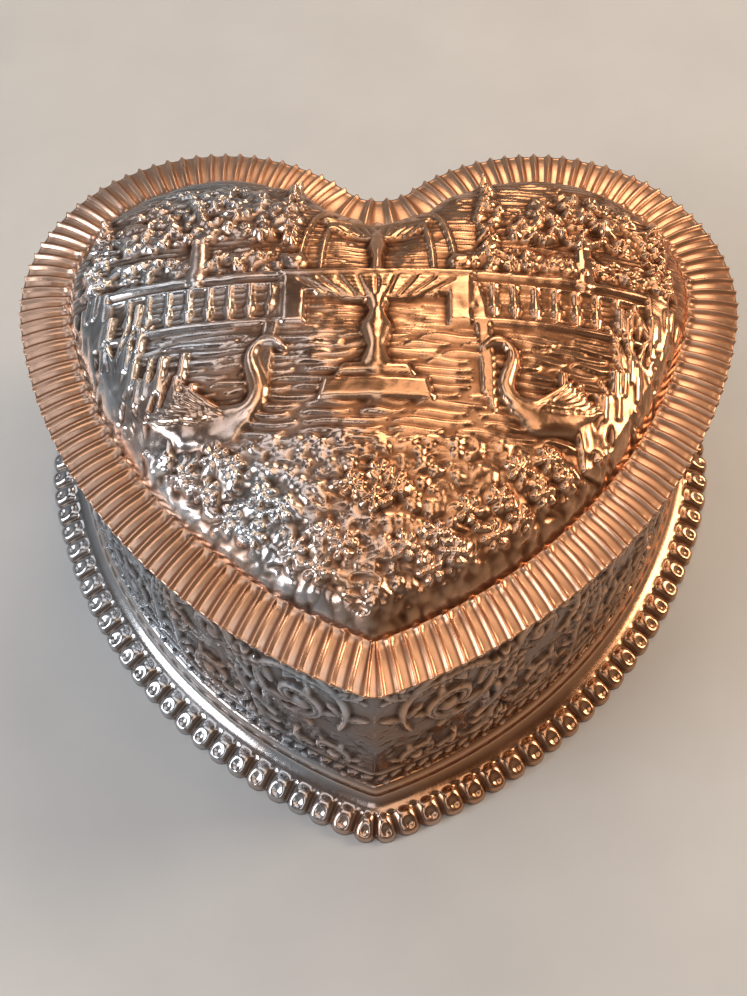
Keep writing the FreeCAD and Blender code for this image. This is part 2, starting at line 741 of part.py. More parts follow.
def raised_picture():
    """Main forms of the picture, between the dome's sheet and the full height of the lid."""
    full = dome_solid("dome_full", "0", "Sizes.dome_height")
    core = dome_solid("dome_core", "Sizes.lid_sheet / 2",
                      "Sizes.dome_height - Sizes.picture_relief - Sizes.lid_sheet / 2")
    doc.recompute()
    forms = picture_forms()
    return full.Shape.common(forms[0].fuse(forms[1:])).cut(core.Shape)


def lid():
    """Stamped lid: a dome inside a flat rim with radial flutes, and a velvet panel under the dome."""
    hole = ("Places.dome_offset - Sizes.lid_sheet", "Sizes.dome_tip_radius", "1")
    body = heart_pad("lid_shell", "Sizes.wall_top", "Sizes.rim_thick", [around("Sizes.lid_overhang"), hole])
    rise = "Sizes.dome_height - Sizes.picture_relief"
    heart_loft(body, "dome_outside", "AdditiveLoft", dome_sections("Places.dome_offset", rise), False)
    inner = dome_sections("Places.dome_offset - Sizes.lid_sheet", f"{rise} - Sizes.lid_sheet")
    heart_loft(body, "dome_inside", "SubtractiveLoft", inner, False)
    doc.recompute()
    stations, spacing = heart_stations(number("Sizes.lid_overhang"), int(number("Sizes.flute_count")))
    depth = number("Sizes.flute_depth")
    half_width = spacing * number("Sizes.flute_width_share") / 2
    radius = (half_width ** 2 + depth ** 2) / (2 * depth)
    full_length = number("Sizes.rim_width - Sizes.flute_land")
    level = Vector(0, 0, number("Places.rim_top") + radius - depth)
    flutes = []
    for point, out, arc_radius in stations:
        length = min(full_length, arc_radius * number("Sizes.flute_tip_share"))
        flutes.append(Part.makeCylinder(radius, length + 1, point - out * length + level, out))
    publish("lid_cover", coded(body.Shape.cut(flutes).fuse(raised_picture())))
    panel = ("Places.dome_offset - Sizes.lid_sheet - Sizes.pile_gap", "Sizes.pile_tip_radius", "1")
    low = "Sizes.wall_top + Sizes.pile_gap"
    publish("lid_lining", heart_pad("lid_panel", low, "Sizes.pile_thick", [panel]))


# Hinges


def hinge(side, centre):
    """Stop hinge behind one lobe: two knuckles on the body leaf, one on the lid leaf, and the pin."""
    left = f"{centre} - Sizes.hinge_width / 2"
    reach = "Sizes.hinge_width / 2 - Sizes.lid_knuckle / 2 - Sizes.knuckle_gap"
    right = f"{centre} + Sizes.lid_knuckle / 2 + Sizes.knuckle_gap"
    low = "Places.hinge_z - Sizes.knuckle_radius - Sizes.leaf_gap"
    sunk = "Places.wall_back - Sizes.leaf_thick * 2"
    plate = box(("Sizes.hinge_width", "Sizes.leaf_thick * 3", "Sizes.leaf_height"),
                (left, sunk, f"{low} - Sizes.leaf_height"))
    ears = [box((reach, "Sizes.leaf_thick * 3", "Sizes.knuckle_radius + Sizes.leaf_gap"), (start, sunk, low))
            for start in (left, right)]
    knuckles = [rod("Sizes.knuckle_radius", reach, (start, "Places.hinge_y", "Places.hinge_z"), "x")
                for start in (left, right)]
    stop = box(("Sizes.lid_knuckle", "Sizes.hinge_stand + Sizes.stop_reach", "Sizes.stop_thick"),
               (f"{centre} - Sizes.lid_knuckle / 2", "Places.wall_back", f"{low} - Sizes.stop_thick"))
    wall = heart_pad(side + "_wall_form", f"{low} - Sizes.leaf_height",
                     "Sizes.hinge_drop + Sizes.leaf_height * 2", [around("0")])
    pin_hole = rod("Sizes.hinge_pin_radius", "Sizes.hinge_width",
                   (left, "Places.hinge_y", "Places.hinge_z"), "x")
    publish(side + "_body_leaf", cut(fuse(plate, *ears, *knuckles, stop), wall, pin_hole))

    middle = f"{centre} - Sizes.lid_knuckle / 2"
    tab_y = "Places.wall_back + Sizes.pile_gap"
    tab = box(("Sizes.hinge_width", "Sizes.lid_overhang - Sizes.pile_gap * 2", "Sizes.leaf_thick"),
              (left, tab_y, "Sizes.wall_top - Sizes.leaf_thick"))
    web = box(("Sizes.lid_knuckle", "Sizes.knuckle_radius", "Sizes.hinge_drop - Sizes.leaf_thick / 2"),
              (middle, "Places.hinge_y - Sizes.knuckle_radius / 2", "Places.hinge_z"))
    knuckle = rod("Sizes.knuckle_radius", "Sizes.lid_knuckle",
                  (middle, "Places.hinge_y", "Places.hinge_z"), "x")
    running_hole = rod("Sizes.hinge_pin_radius + Sizes.running_gap", "Sizes.lid_knuckle",
                       (middle, "Places.hinge_y", "Places.hinge_z"), "x")
    rim_edge = heart_pad(side + "_rim_form", "Places.hinge_z", "Sizes.hinge_drop",
                         [around("Sizes.lid_overhang")])
    leaf = doc.addObject("Part::Common", "leaf")
    leaf.Base = tab
    leaf.Tool = rim_edge
    publish(side + "_lid_leaf", cut(fuse(leaf, web, knuckle), running_hole))

    pin = rod("Sizes.hinge_pin_radius", "Sizes.hinge_width + Sizes.pin_end * 2",
              (f"{left} - Sizes.pin_end", "Places.hinge_y", "Places.hinge_z"), "x")
    publish(side + "_hinge_pin", pin)


# Gears


def gear(teeth, module, thick, first):
    """Spur gear along +Z, with its first tooth at an angle; its teeth run freely with their mates."""
    tip = module * (teeth / 2 + ADDENDUM)
    root = module * (teeth / 2 - DEDENDUM)
    pitch = 2 * math.pi / teeth
    corners = []
    for tooth in range(teeth):
        for radius, share in ((root, -ROOT_WIDTH), (tip, -TIP_WIDTH), (tip, TIP_WIDTH), (root, ROOT_WIDTH)):
            angle = first + (tooth + share / 2) * pitch
            corners.append(Vector(radius * math.cos(angle), radius * math.sin(angle), 0))
    return Part.Face(Part.makePolygon(corners + corners[:1])).extrude(Vector(0, 0, thick))


# Movement


def bed_plate():
    """Bed of the movement on four posts, with the raised seat of the comb."""
    width = "Places.bed_right - Places.bed_left"
    plate = box((width, "Places.bed_back - Places.bed_front", "Sizes.bed_thick"),
                ("Places.bed_left", "Places.bed_front", "Places.bed_bottom"))
    back = "Places.column_y + Sizes.frame_thick + Sizes.bed_margin - Places.barrel_y"
    tail = box(("Places.bed_right - Places.right_bracket_x", back, "Sizes.bed_thick"),
               ("Places.right_bracket_x", "Places.barrel_y", "Places.bed_bottom"))
    seat = box(("Sizes.cylinder_length", "Sizes.comb_base",
                "Places.axis_z - Places.bed_bottom - Sizes.comb_thick / 2"),
               ("Places.cylinder_x", "Places.comb_end", "Places.bed_bottom"))
    posts = [rod("Sizes.post_radius", "Sizes.post_height", (x, y, "Places.floor_top"))
             for x, y in post_places()]
    holes = [rod("Sizes.screw_radius", "Sizes.post_height", (x, y, "Places.floor_top"))
             for x, y in post_places()]
    arbor_hole = rod("Sizes.arbor_radius + Sizes.running_gap", "Sizes.bed_thick",
                     ("Sizes.barrel_x", "Places.barrel_y", "Places.bed_bottom"))
    click_hole = rod("Sizes.screw_radius", "Sizes.bed_thick",
                     ("Places.click_x", "Places.click_y", "Places.bed_bottom"))
    comb_holes = [rod("Sizes.screw_radius", "Sizes.comb_base", (x, y, "Places.axis_z - Sizes.comb_base"))
                  for x, y in comb_screw_places()]
    frame_hole = rod("Sizes.screw_radius", "Sizes.bed_thick", (*governor_screw_place(), "Places.bed_bottom"))
    publish("bed_plate",
            cut(fuse(plate, tail, seat, *posts), *holes, arbor_hole, click_hole, frame_hole, *comb_holes))
    screws = [fuse(rod("Sizes.screw_head", "Sizes.head_thick", (x, y, "Sizes.key_room - Sizes.head_thick")),
                   rod("Sizes.screw_radius", "Sizes.floor_thick + Sizes.post_height",
                       (x, y, "Sizes.key_room")))
              for x, y in post_places()]
    publish("movement_screws", group(*screws))


def winding():
    """Butterfly key, winding arbor and ratchet wheel, which turn as one, with the click beside them."""
    axis = ("Sizes.barrel_x", "Places.barrel_y")
    hub = rod("Sizes.hub_radius", "Sizes.hub_height", (*axis, "Sizes.key_clear"))
    bar_y = "Places.barrel_y - Sizes.key_thick / 2"
    wing = "Sizes.key_height / 2"
    bar = box(("Sizes.key_reach * 2", "Sizes.key_thick", "Sizes.key_height"),
              ("Sizes.barrel_x - Sizes.key_reach", bar_y, "Sizes.key_clear"))
    wing_places = [(f"Sizes.barrel_x + {sign} * Sizes.key_reach", bar_y, f"Sizes.key_clear + {wing}")
                   for sign in (-1, 1)]
    lobes = [rod(wing, "Sizes.key_thick", place, "y") for place in wing_places]
    eyes = [rod("Sizes.key_hole", "Sizes.key_thick", place, "y") for place in wing_places]
    bore = rod("Sizes.arbor_radius", "Sizes.hub_height / 2",
               (*axis, "Sizes.key_clear + Sizes.hub_height / 2"))
    publish("winding_key", cut(fuse(hub, bar, *lobes), *eyes, bore))

    start = "Sizes.key_clear + Sizes.hub_height / 2"
    stem = rod("Sizes.arbor_radius", f"Places.arbor_top - ({start})", (*axis, start))
    head = rod("Sizes.arbor_head", "Sizes.cover_thick", (*axis, "Places.arbor_top"))
    publish("winding_arbor", fuse(stem, head))

    teeth = int(number("Sizes.ratchet_teeth"))
    tip = number("Sizes.ratchet_radius")
    root = tip - number("Sizes.ratchet_depth")
    corners = []
    for tooth in range(teeth):
        angle = 2 * math.pi * tooth / teeth
        for radius in (root, tip):
            corners.append(Vector(radius * math.cos(angle), radius * math.sin(angle), 0))
    thick = Vector(0, 0, number("Sizes.ratchet_thick"))
    outline = Part.Face(Part.makePolygon(corners + corners[:1]))
    saw = coded(outline.extrude(thick), (*axis, "Places.ratchet_z"))
    eye = rod("Sizes.arbor_radius", "Sizes.ratchet_thick", (*axis, "Places.ratchet_z"))
    publish("ratchet_wheel", cut(saw, eye))

    pivot = ("Places.click_x", "Places.click_y")
    boss = rod("Sizes.click_boss", "Sizes.ratchet_thick", (*pivot, "Places.ratchet_z"))
    arm = box(("Sizes.click_width", "Sizes.click_arm", "Sizes.ratchet_thick"),
              ("Places.click_x - Sizes.click_width / 2", "Places.click_y", "Places.ratchet_z"))
    nose = box(("Sizes.click_nose + Sizes.click_width / 2", "Sizes.click_nose", "Sizes.ratchet_thick"),
               ("Places.click_x - Sizes.click_width / 2 - Sizes.click_nose",
                "Places.click_y + Sizes.click_arm - Sizes.click_nose", "Places.ratchet_z"))
    hole = rod("Sizes.screw_radius + Sizes.running_gap", "Sizes.ratchet_thick", (*pivot, "Places.ratchet_z"))
    publish("click", cut(fuse(boss, arm, nose), hole))
    shank = rod("Sizes.screw_radius", "Places.bed_top - Places.ratchet_z + Sizes.running_gap",
                (*pivot, "Places.ratchet_z - Sizes.running_gap"))
    cap = rod("Sizes.click_boss", "Sizes.floor_thick / 2",
              (*pivot, "Places.ratchet_z - Sizes.running_gap - Sizes.floor_thick / 2"))
    publish("click_screw", fuse(shank, cap))


def spring_barrel():
    """Barrel with its gear, its cover, and the mainspring wound inside it."""
    axis = ("Sizes.barrel_x", "Places.barrel_y")
    bottom = "Places.barrel_bottom"
    teeth = int(number("Sizes.barrel_teeth"))
    toothed = gear(teeth, number("Sizes.train_module"), number("Sizes.gear_thick"), math.pi / teeth)
    ring = coded(toothed, (*axis, bottom))
    cup = rod("Sizes.cup_radius", "Sizes.cup_height", (*axis, bottom))
    hollow = rod("Sizes.cup_radius - Sizes.cup_thick", "Sizes.cup_height",
                 (*axis, f"{bottom} + Sizes.cup_thick"))
    bore = rod("Sizes.arbor_radius + Sizes.running_gap", "Sizes.cup_thick * 2", (*axis, bottom))
    publish("spring_barrel", cut(fuse(ring, cup), hollow, bore))

    cover = rod("Sizes.cup_radius", "Sizes.cover_thick", (*axis, "Places.cup_top"))
    cover_bore = rod("Sizes.arbor_radius + Sizes.running_gap", "Sizes.cover_thick",
                     (*axis, "Places.cup_top"))
    publish("barrel_cover", cut(cover, cover_bore))

    gap = number("Sizes.click_gap")
    inner = number("Sizes.arbor_radius") + gap
    outer = number("Sizes.cup_radius - Sizes.cup_thick")
    height = number("Sizes.cup_height - 2 * Sizes.cup_thick")
    turns = int(number("Sizes.spring_turns"))
    strip = spiral_strip(inner, outer, turns, number("Sizes.spring_thick"), height)
    publish("mainspring", coded(strip, (*axis, f"{bottom} + Sizes.cup_thick")))


def spiral_strip(inner, outer, turns, thick, height):
    """Flat spring of half circles about two centres, standing on the plane of the origin."""
    step = (outer - thick - inner) / turns
    bends = [[], []]
    for half in range(2 * turns):
        centre = Vector(step / 4 if half % 2 else -step / 4, 0, 0)
        start = 0 if half % 2 == 0 else math.pi
        for bend, extra in zip(bends, (0, thick)):
            radius = inner + step * (half + 0.5) / 2 + extra
            circle = Part.Circle(centre, Vector(0, 0, 1), radius)
            bend.append(Part.ArcOfCircle(circle, start, start + math.pi).toShape())
    near, far = bends
    ends = [Part.makeLine(near[0].Vertexes[0].Point, far[0].Vertexes[0].Point),
            Part.makeLine(near[-1].Vertexes[-1].Point, far[-1].Vertexes[-1].Point)]
    outline = Part.Wire(Part.__sortEdges__(near + far + ends))
    return Part.Face(outline).extrude(Vector(0, 0, height))


def cylinder():
    """Pinned cylinder on its arbor, with the contrate wheel that drives it and the wheel that it drives."""
    axis = ("Places.barrel_y", "Places.axis_z")
    radius = number("Sizes.cylinder_radius")
    length = number("Sizes.cylinder_length")
    tracks = int(number("Sizes.comb_teeth"))
    root = number("Sizes.tune_pin_root")
    pin_length = root + number("Sizes.tune_pin_height")
    barrel = Part.makeCylinder(radius, length)
    pins = []
    for track in range(tracks):
        notes = LEAST_NOTES + track % LEAST_NOTES
        for note in range(notes):
            angle = math.radians(track * TRACK_TURN + note * 360 / notes)
            out = Vector(math.cos(angle), math.sin(angle), 0)
            foot = out * (radius - root) + Vector(0, 0, (track + 0.5) * length / tracks)
            pins.append(Part.makeCylinder(number("Sizes.tune_pin_radius"), pin_length, foot, out))
    bore = Part.makeCylinder(number("Sizes.cylinder_arbor_radius"), length)
    publish("cylinder", coded(barrel.fuse(pins).cut(bore), ("Places.cylinder_x", *axis), "x"))

    start = "Places.contrate_x"
    publish("cylinder_arbor", rod("Sizes.cylinder_arbor_radius",
                                  f"Places.right_bracket_x + Sizes.bracket_thick - {start}",
                                  (start, *axis), "x"))

    disc = rod("Places.contrate_radius + Sizes.contrate_pin * 2", "Sizes.contrate_thick",
               (start, *axis), "x")
    count = int(number("Sizes.contrate_teeth"))
    peg_length = number("Sizes.contrate_pin_length + Sizes.contrate_pin_root")
    pin_ring = []
    for index in range(count):
        angle = 2 * math.pi * index / count
        spot = Vector(math.cos(angle), math.sin(angle), 0) * number("Places.contrate_radius")
        pin_ring.append(Part.makeCylinder(number("Sizes.contrate_pin"), peg_length, spot))
    teeth = coded(Part.makeCompound(pin_ring), (f"{start} - Sizes.contrate_pin_length", *axis), "x")
    hole = rod("Sizes.cylinder_arbor_radius", "Sizes.contrate_thick", (start, *axis), "x")
    publish("contrate_wheel", cut(fuse(disc, teeth), hole))

    wheel_teeth = int(number("Sizes.wheel_teeth"))
    gap_behind = math.pi / 2 + math.pi / wheel_teeth
    wheel = gear(wheel_teeth, number("Sizes.wheel_module"), number("Sizes.wheel_thick"), gap_behind)
    eye = Part.makeCylinder(number("Sizes.cylinder_arbor_radius"), number("Sizes.wheel_thick"))
    publish("cylinder_wheel", coded(wheel.cut(eye), ("Places.wheel_x", *axis), "x"))


def brackets():
    """Two uprights that carry the cylinder's arbor; the right one carries the governor's arbor too."""
    margin = "Sizes.bracket_margin"
    height = f"Places.axis_z + {margin} - Places.bed_top"
    front = f"Places.barrel_y - {margin}"

    def bearing(radius, x, y):
        return rod(f"{radius} + Sizes.running_gap", "Sizes.bracket_thick", (x, y, "Places.axis_z"), "x")

    left = box(("Sizes.bracket_thick", f"{margin} * 2", height),
               ("Places.left_bracket_x", front, "Places.bed_top"))
    publish("left_bracket",
            cut(left, bearing("Sizes.cylinder_arbor_radius", "Places.left_bracket_x", "Places.barrel_y")))
    right = box(("Sizes.bracket_thick", f"Places.governor_y - Places.barrel_y + {margin} * 2", height),
                ("Places.right_bracket_x", front, "Places.bed_top"))
    publish("right_bracket",
            cut(right, bearing("Sizes.cylinder_arbor_radius", "Places.right_bracket_x", "Places.barrel_y"),
                bearing("Sizes.governor_arbor_radius", "Places.right_bracket_x", "Places.governor_y")))


def comb_screw_places():
    return [(f"Places.cylinder_x + Sizes.cylinder_length * {share}", "Places.comb_end + Sizes.comb_base / 2")
            for share in COMB_SCREW_SHARES]


def comb():
    """Steel comb clamped on its seat, one tooth for each track of pins."""
    level = "Places.axis_z - Sizes.comb_thick / 2"
    blank = box(("Sizes.cylinder_length", "Sizes.comb_base + Sizes.comb_tooth", "Sizes.comb_thick"),
                ("Places.cylinder_x", "Places.comb_end", level))
    slits = [box(("Sizes.comb_slit", "Sizes.comb_tooth", "Sizes.comb_thick"),
                 (f"Places.cylinder_x + Sizes.cylinder_length * {gap} / Sizes.comb_teeth"
                  " - Sizes.comb_slit / 2", "Places.seat_y", level))
             for gap in range(1, int(number("Sizes.comb_teeth")))]
    holes = [rod("Sizes.screw_radius", "Sizes.comb_thick", (x, y, level)) for x, y in comb_screw_places()]
    publish("comb", cut(blank, *slits, *holes))
    top = "Places.axis_z + Sizes.comb_thick / 2"
    screws = [fuse(rod("Sizes.screw_head", "Sizes.head_thick", (x, y, top)),
                   rod("Sizes.screw_radius", "Sizes.comb_base / 2", (x, y, f"{top} - Sizes.comb_base / 2")))
              for x, y in comb_screw_places()]
    publish("comb_screws", group(*screws))


def governor_screw_place():
    return "Places.rod_x", "Places.column_y + Sizes.frame_thick - Sizes.screw_head"


def governor():
    """Frame, pinion arbor, worm wheel, worm shaft and fly that hold the tune to its speed."""
    left = "Places.worm_wheel_x - Sizes.side_gap / 2"
    margin = "Sizes.governor_arbor_radius * 3"
    front = f"Places.governor_y - {margin}"
    base = box((f"Places.rod_x + Sizes.rod_radius * 3 - ({left})",
                f"Places.column_y + Sizes.frame_thick - ({front})", "Sizes.frame_thick"),
               (left, front, "Places.bed_top"))
    cheek = box(("Sizes.frame_thick", f"{margin} * 2", f"Places.axis_z + {margin} - Places.bed_top"),
                ("Places.cheek_x", front, "Places.bed_top"))
    column = box(("Sizes.frame_thick * 4", "Sizes.frame_thick",
                  "Places.arm_z + Sizes.frame_thick - Places.bed_top"),
                 ("Places.fly_x - Sizes.frame_thick * 2", "Places.column_y", "Places.bed_top"))
    arm = box(("Sizes.frame_thick * 3", "Places.column_y - Places.fly_y + Sizes.frame_thick * 2",
               "Sizes.frame_thick"),
              ("Places.fly_x - Sizes.frame_thick * 1.5", "Places.fly_y - Sizes.frame_thick", "Places.arm_z"))
    guide_height = "Sizes.frame_thick + Sizes.rod_rise + Sizes.rod_grip"
    guide = rod("Sizes.rod_radius * 2.5", guide_height, ("Places.rod_x", "Places.fly_y", "Places.bed_top"))
    guide_bore = rod("Sizes.rod_radius + Sizes.running_gap", guide_height,
                     ("Places.rod_x", "Places.fly_y", "Places.base_top"))
    arbor_bore = rod("Sizes.governor_arbor_radius + Sizes.running_gap", "Sizes.frame_thick",
                     ("Places.cheek_x", "Places.governor_y", "Places.axis_z"), "x")
    pivot = "Sizes.fly_pivot_radius + Sizes.running_gap"
    low_pivot = rod(pivot, "Sizes.frame_thick", ("Places.fly_x", "Places.fly_y", "Places.bed_top"))
    high_pivot = rod(pivot, "Sizes.frame_thick", ("Places.fly_x", "Places.fly_y", "Places.arm_z"))
    screw_hole = rod("Sizes.screw_radius", "Sizes.frame_thick", (*governor_screw_place(), "Places.bed_top"))
    publish("governor_frame",
            cut(fuse(base, cheek, column, arm, guide),
                guide_bore, arbor_bore, low_pivot, high_pivot, screw_hole))
    screw = fuse(rod("Sizes.screw_head", "Sizes.head_thick", (*governor_screw_place(), "Places.base_top")),
                 rod("Sizes.screw_radius", "Places.base_top - Places.bed_bottom",
                     (*governor_screw_place(), "Places.bed_bottom")))
    publish("governor_screw", screw)

    teeth = int(number("Sizes.pinion_teeth"))
    spindle = rod("Sizes.governor_arbor_radius", "Places.cheek_x + Sizes.frame_thick - Places.wheel_x",
                  ("Places.wheel_x", "Places.governor_y", "Places.axis_z"), "x")
    tooth_in_front = -math.pi / 2
    pinion = gear(teeth, number("Sizes.wheel_module"), number("Sizes.wheel_thick"), tooth_in_front)
    leaves = coded(pinion, ("Places.wheel_x", "Places.governor_y", "Places.axis_z"), "x")
    publish("governor_arbor", fuse(spindle, leaves))

    thick = number("Sizes.worm_wheel_thick")
    tooth_behind = math.pi / 2
    wheel = gear(int(number("Sizes.worm_teeth")), number("Sizes.worm_module"), thick, tooth_behind)
    eye = Part.makeCylinder(number("Sizes.governor_arbor_radius"), thick)
    publish("worm_wheel",
            coded(wheel.cut(eye), ("Places.worm_wheel_x", "Places.governor_y", "Places.axis_z"), "x"))
    fly()


def fly():
    """Worm shaft between its two pivots, and the two-winged fly on it."""
    spot = ("Places.fly_x", "Places.fly_y")
    shoulder = "Places.base_top + Sizes.mesh_gap"
    stem = rod("Sizes.fly_shaft_radius", f"Places.arm_z - Sizes.mesh_gap - ({shoulder})", (*spot, shoulder))
    low = "Places.bed_top + Sizes.mesh_gap"
    pivots = rod("Sizes.fly_pivot_radius", f"Places.arm_z + Sizes.frame_thick - ({low})", (*spot, low))
    lead = number("Places.worm_lead")
    root = number("Sizes.fly_shaft_radius")
    crest = number("Sizes.worm_radius") + ADDENDUM * number("Sizes.worm_module")
    spine = Part.makeHelix(lead, lead * number("Sizes.worm_turns"), root)
    sunk = root - number("Sizes.mesh_gap")
    half = number("Sizes.thread_share") * lead
    corners = [Vector(sunk, 0, -half), Vector(crest, 0, -half / 2),
               Vector(crest, 0, half / 2), Vector(sunk, 0, half)]
    profile = Part.makePolygon(corners + corners[:1])
    thread = Part.Wire(spine.Edges).makePipeShell([profile], True, True)
    gap_at_wheel = "Places.axis_z - Places.worm_lead * (Sizes.worm_turns / 2 + 0.25)"
    worm = coded(thread, (*spot, gap_at_wheel))
    publish("fly_shaft", fuse(stem, pivots, worm))

    hub = rod("Sizes.fly_shaft_radius * 2", "Sizes.fly_height", (*spot, "Places.fly_bottom"))
    blade = box(("Sizes.fly_radius * 2", "Sizes.fly_thick", "Sizes.fly_height"),
                ("Places.fly_x - Sizes.fly_radius", "Places.fly_y - Sizes.fly_thick / 2",
                 "Places.fly_bottom"))
    publish("fly", cut(fuse(hub, blade), rod("Sizes.fly_shaft_radius", "Sizes.fly_height",
                                             (*spot, "Places.fly_bottom"))))


def stop_rod():
    """Rod that the lid holds down, with the shoe that stands at the fly's wing tips until the lid opens."""
    low = "Places.base_top + Sizes.mesh_gap"
    stem = rod("Sizes.rod_radius", f"Sizes.wall_top - ({low})", ("Places.rod_x", "Places.fly_y", low))
    shoe = box(("Sizes.shoe_reach", "Sizes.shoe_width", "Sizes.fly_height - Sizes.side_gap"),
               ("Places.rod_x - Sizes.shoe_reach", "Places.fly_y - Sizes.shoe_width / 2",
                "Places.fly_bottom + Sizes.side_gap / 2"))
    publish("stop_rod", fuse(stem, shoe))


def check(objects):
    """Stop if any object failed or any piece is empty or broken."""
    for obj in doc.Objects:
        if "Invalid" in obj.State or "Error" in obj.State:
            raise RuntimeError(f"{obj.Name} failed: {obj.State}")
    for label, obj in objects.items():
        if obj.Shape.isNull() or not obj.Shape.isValid() or not obj.Shape.Solids:
            raise RuntimeError(f"{label} is not a valid solid")


foot_flange()
body_wall()
floor_plate()
tray()
lid()
hinge("left", "-Sizes.lobe_x")
hinge("right", "Sizes.lobe_x")
bed_plate()
winding()
spring_barrel()
cylinder()
brackets()
comb()
governor()
stop_rod()
doc.recompute()
check(subparts)

os.makedirs("parts", exist_ok=True)
for label, obj in subparts.items():
    obj.Shape.exportStep(f"parts/{label}.step")
    print(label, len(obj.Shape.Solids), round(obj.Shape.Volume, 2))
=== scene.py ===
"""Heart-shaped music box in embossed silver plate, with velvet linings and the metals of its movement.

Shapes are worked out in millimetres and become metres when a mesh is made. Outlines and levels repeat the
driving dimensions of the solids, with y measured from the line through the centres of the two lobes.
"""
import json
import math

import bpy
import numpy as np
from mathutils import Matrix, Vector


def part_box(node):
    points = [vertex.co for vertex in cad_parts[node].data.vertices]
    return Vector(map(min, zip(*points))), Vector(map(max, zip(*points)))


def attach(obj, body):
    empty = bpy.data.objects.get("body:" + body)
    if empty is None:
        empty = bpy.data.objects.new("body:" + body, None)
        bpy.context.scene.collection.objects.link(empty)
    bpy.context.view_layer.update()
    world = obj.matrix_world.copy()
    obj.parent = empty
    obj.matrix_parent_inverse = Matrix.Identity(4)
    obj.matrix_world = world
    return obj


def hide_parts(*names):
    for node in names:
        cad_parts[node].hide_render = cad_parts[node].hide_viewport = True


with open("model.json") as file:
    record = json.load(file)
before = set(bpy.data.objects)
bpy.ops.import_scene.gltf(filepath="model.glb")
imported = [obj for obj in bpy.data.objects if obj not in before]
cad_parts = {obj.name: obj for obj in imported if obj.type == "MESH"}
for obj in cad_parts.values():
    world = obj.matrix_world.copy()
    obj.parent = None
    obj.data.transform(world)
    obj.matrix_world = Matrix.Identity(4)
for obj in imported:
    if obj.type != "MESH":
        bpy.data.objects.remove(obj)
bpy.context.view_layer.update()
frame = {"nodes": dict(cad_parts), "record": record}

MM = 0.001
SEED = 7

# Heart outline of the wall's outer face
LOBE_X = 27.5
LOBE_RADIUS = 28.5
FLANK_RADIUS = 88.0
FLANK_ANGLE = math.radians(-12.56)
TIP_RADIUS = 2.0
NOTCH_RADIUS = 12.0
FLANK_X = LOBE_X - (FLANK_RADIUS - LOBE_RADIUS) * math.cos(FLANK_ANGLE)
FLANK_Y = -(FLANK_RADIUS - LOBE_RADIUS) * math.sin(FLANK_ANGLE)
NOTCH_Y = math.sqrt((LOBE_RADIUS + NOTCH_RADIUS) ** 2 - LOBE_X ** 2)
INNER_ANGLE = math.atan2(NOTCH_Y, -LOBE_X)

# Levels and widths read from the solids
WALL_LOW, WALL_HIGH = (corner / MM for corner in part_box("body_wall"))
LID_LOW, LID_HIGH = (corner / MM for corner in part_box("lid_cover"))
FOOT_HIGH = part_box("foot_flange")[1] / MM
WALL_THICK = 0.8
HEART_Y = FOOT_HIGH.y - FOOT_HIGH.x + LOBE_X
FLANGE_REACH = FOOT_HIGH.x - LOBE_X - LOBE_RADIUS
LID_OVERHANG = LID_HIGH.x - LOBE_X - LOBE_RADIUS

# Lid
RIM_WIDTH = 8.4
RIM_TOP = LID_LOW.z + 1.2
DOME_OFFSET = LID_OVERHANG - RIM_WIDTH
DOME_TIP_RADIUS = 1.5
DOME_CENTRE = -12.0
DOME_POWER = 2.2
DOME_ROUND = 0.6
DOME_SHEET = 1.6
DOME_SKIRT = 0.4
DOME_STEEPEST = 1.2
DOME_COLUMNS = 400
DOME_ROWS = 300
DOME_RINGS = (1.0, 0.985, 0.95, 0.9, 0.8, 0.65, 0.45, 0.2)
RELIEF_ROOM = 1.55
DOME_HEIGHT = LID_HIGH.z - RIM_TOP - RELIEF_ROOM
FLUTES = 138

# Wall and foot, with the foot's collar and cove as distances out from the wall and down from the foot's top
PANEL_COUNT = 8
SCALLOPS = 90
BEAD_START = 3.4
BEAD_CLEFT = 1.1
FOOT_PROFILE = ((-0.05, 0), (0.35, 0.35), (0.75, 0.9), (0.95, 1.5), (0.85, 1.9), (0.8, 2.15),
                (1.0, 2.6), (1.5, 3.1), (2.1, 3.55), (2.8, 3.9), (BEAD_START, 4.05))

# Velvet
PAD_TIP_RADIUS = 0.9
TRAY_PAD_GAP = 1.3
LID_PAD_GAP = 1.1
STRIP_THICK = 0.95
STRIP_ROLL = 0.4

# Places in the lid's picture, as x, y and sizes
PICTURE_LEFT = -54
PICTURE_BOTTOM = -66
RAILINGS = ((-45, -13), (13, 45))
RAILING_FOOT = -15
FOUNTAIN_FOOT = -27
BANK_TOP = -36
STONES = 1300
CLOUDS = ((-38, 13, 16), (-14, 17, 9), (15, 15, 12), (33, 19, 15), (41, 9, 9))
CYPRESSES = ((-46, -4, 2.8, 16), (-14, 2, 2.2, 17), (18, 0, 2.4, 19), (46, -4, 2.6, 15))
TREES = ((-29, -6, 17, 12), (33, -6, 16, 10))
TREE_CLUMPS = ((-0.75, 0.72, 0.5), (0.8, 0.75, 0.5), (-0.3, 1.02, 0.6), (0.4, 1.05, 0.55), (0, 0.75, 0.5))
SHRUBS = ((-44, -20, 4.5), (44, -20, 4.5), (-39, -29, 4), (40, -28, 4), (-34, -36, 3.5), (35, -35, 3.5))
REEDS = ((46, -24), (41, -28), (37, -35), (33, -38))
BUSHES = ((-25, -40, 6), (25, -40, 6), (-17.5, -47, 6.4), (17.5, -47, 6.4),
          (-8, -53, 5.8), (8, -53, 5.8), (0, -44, 5))
SWANS = ((-25, -33, 1.15, 1), (26, -31, 1.0, -1))

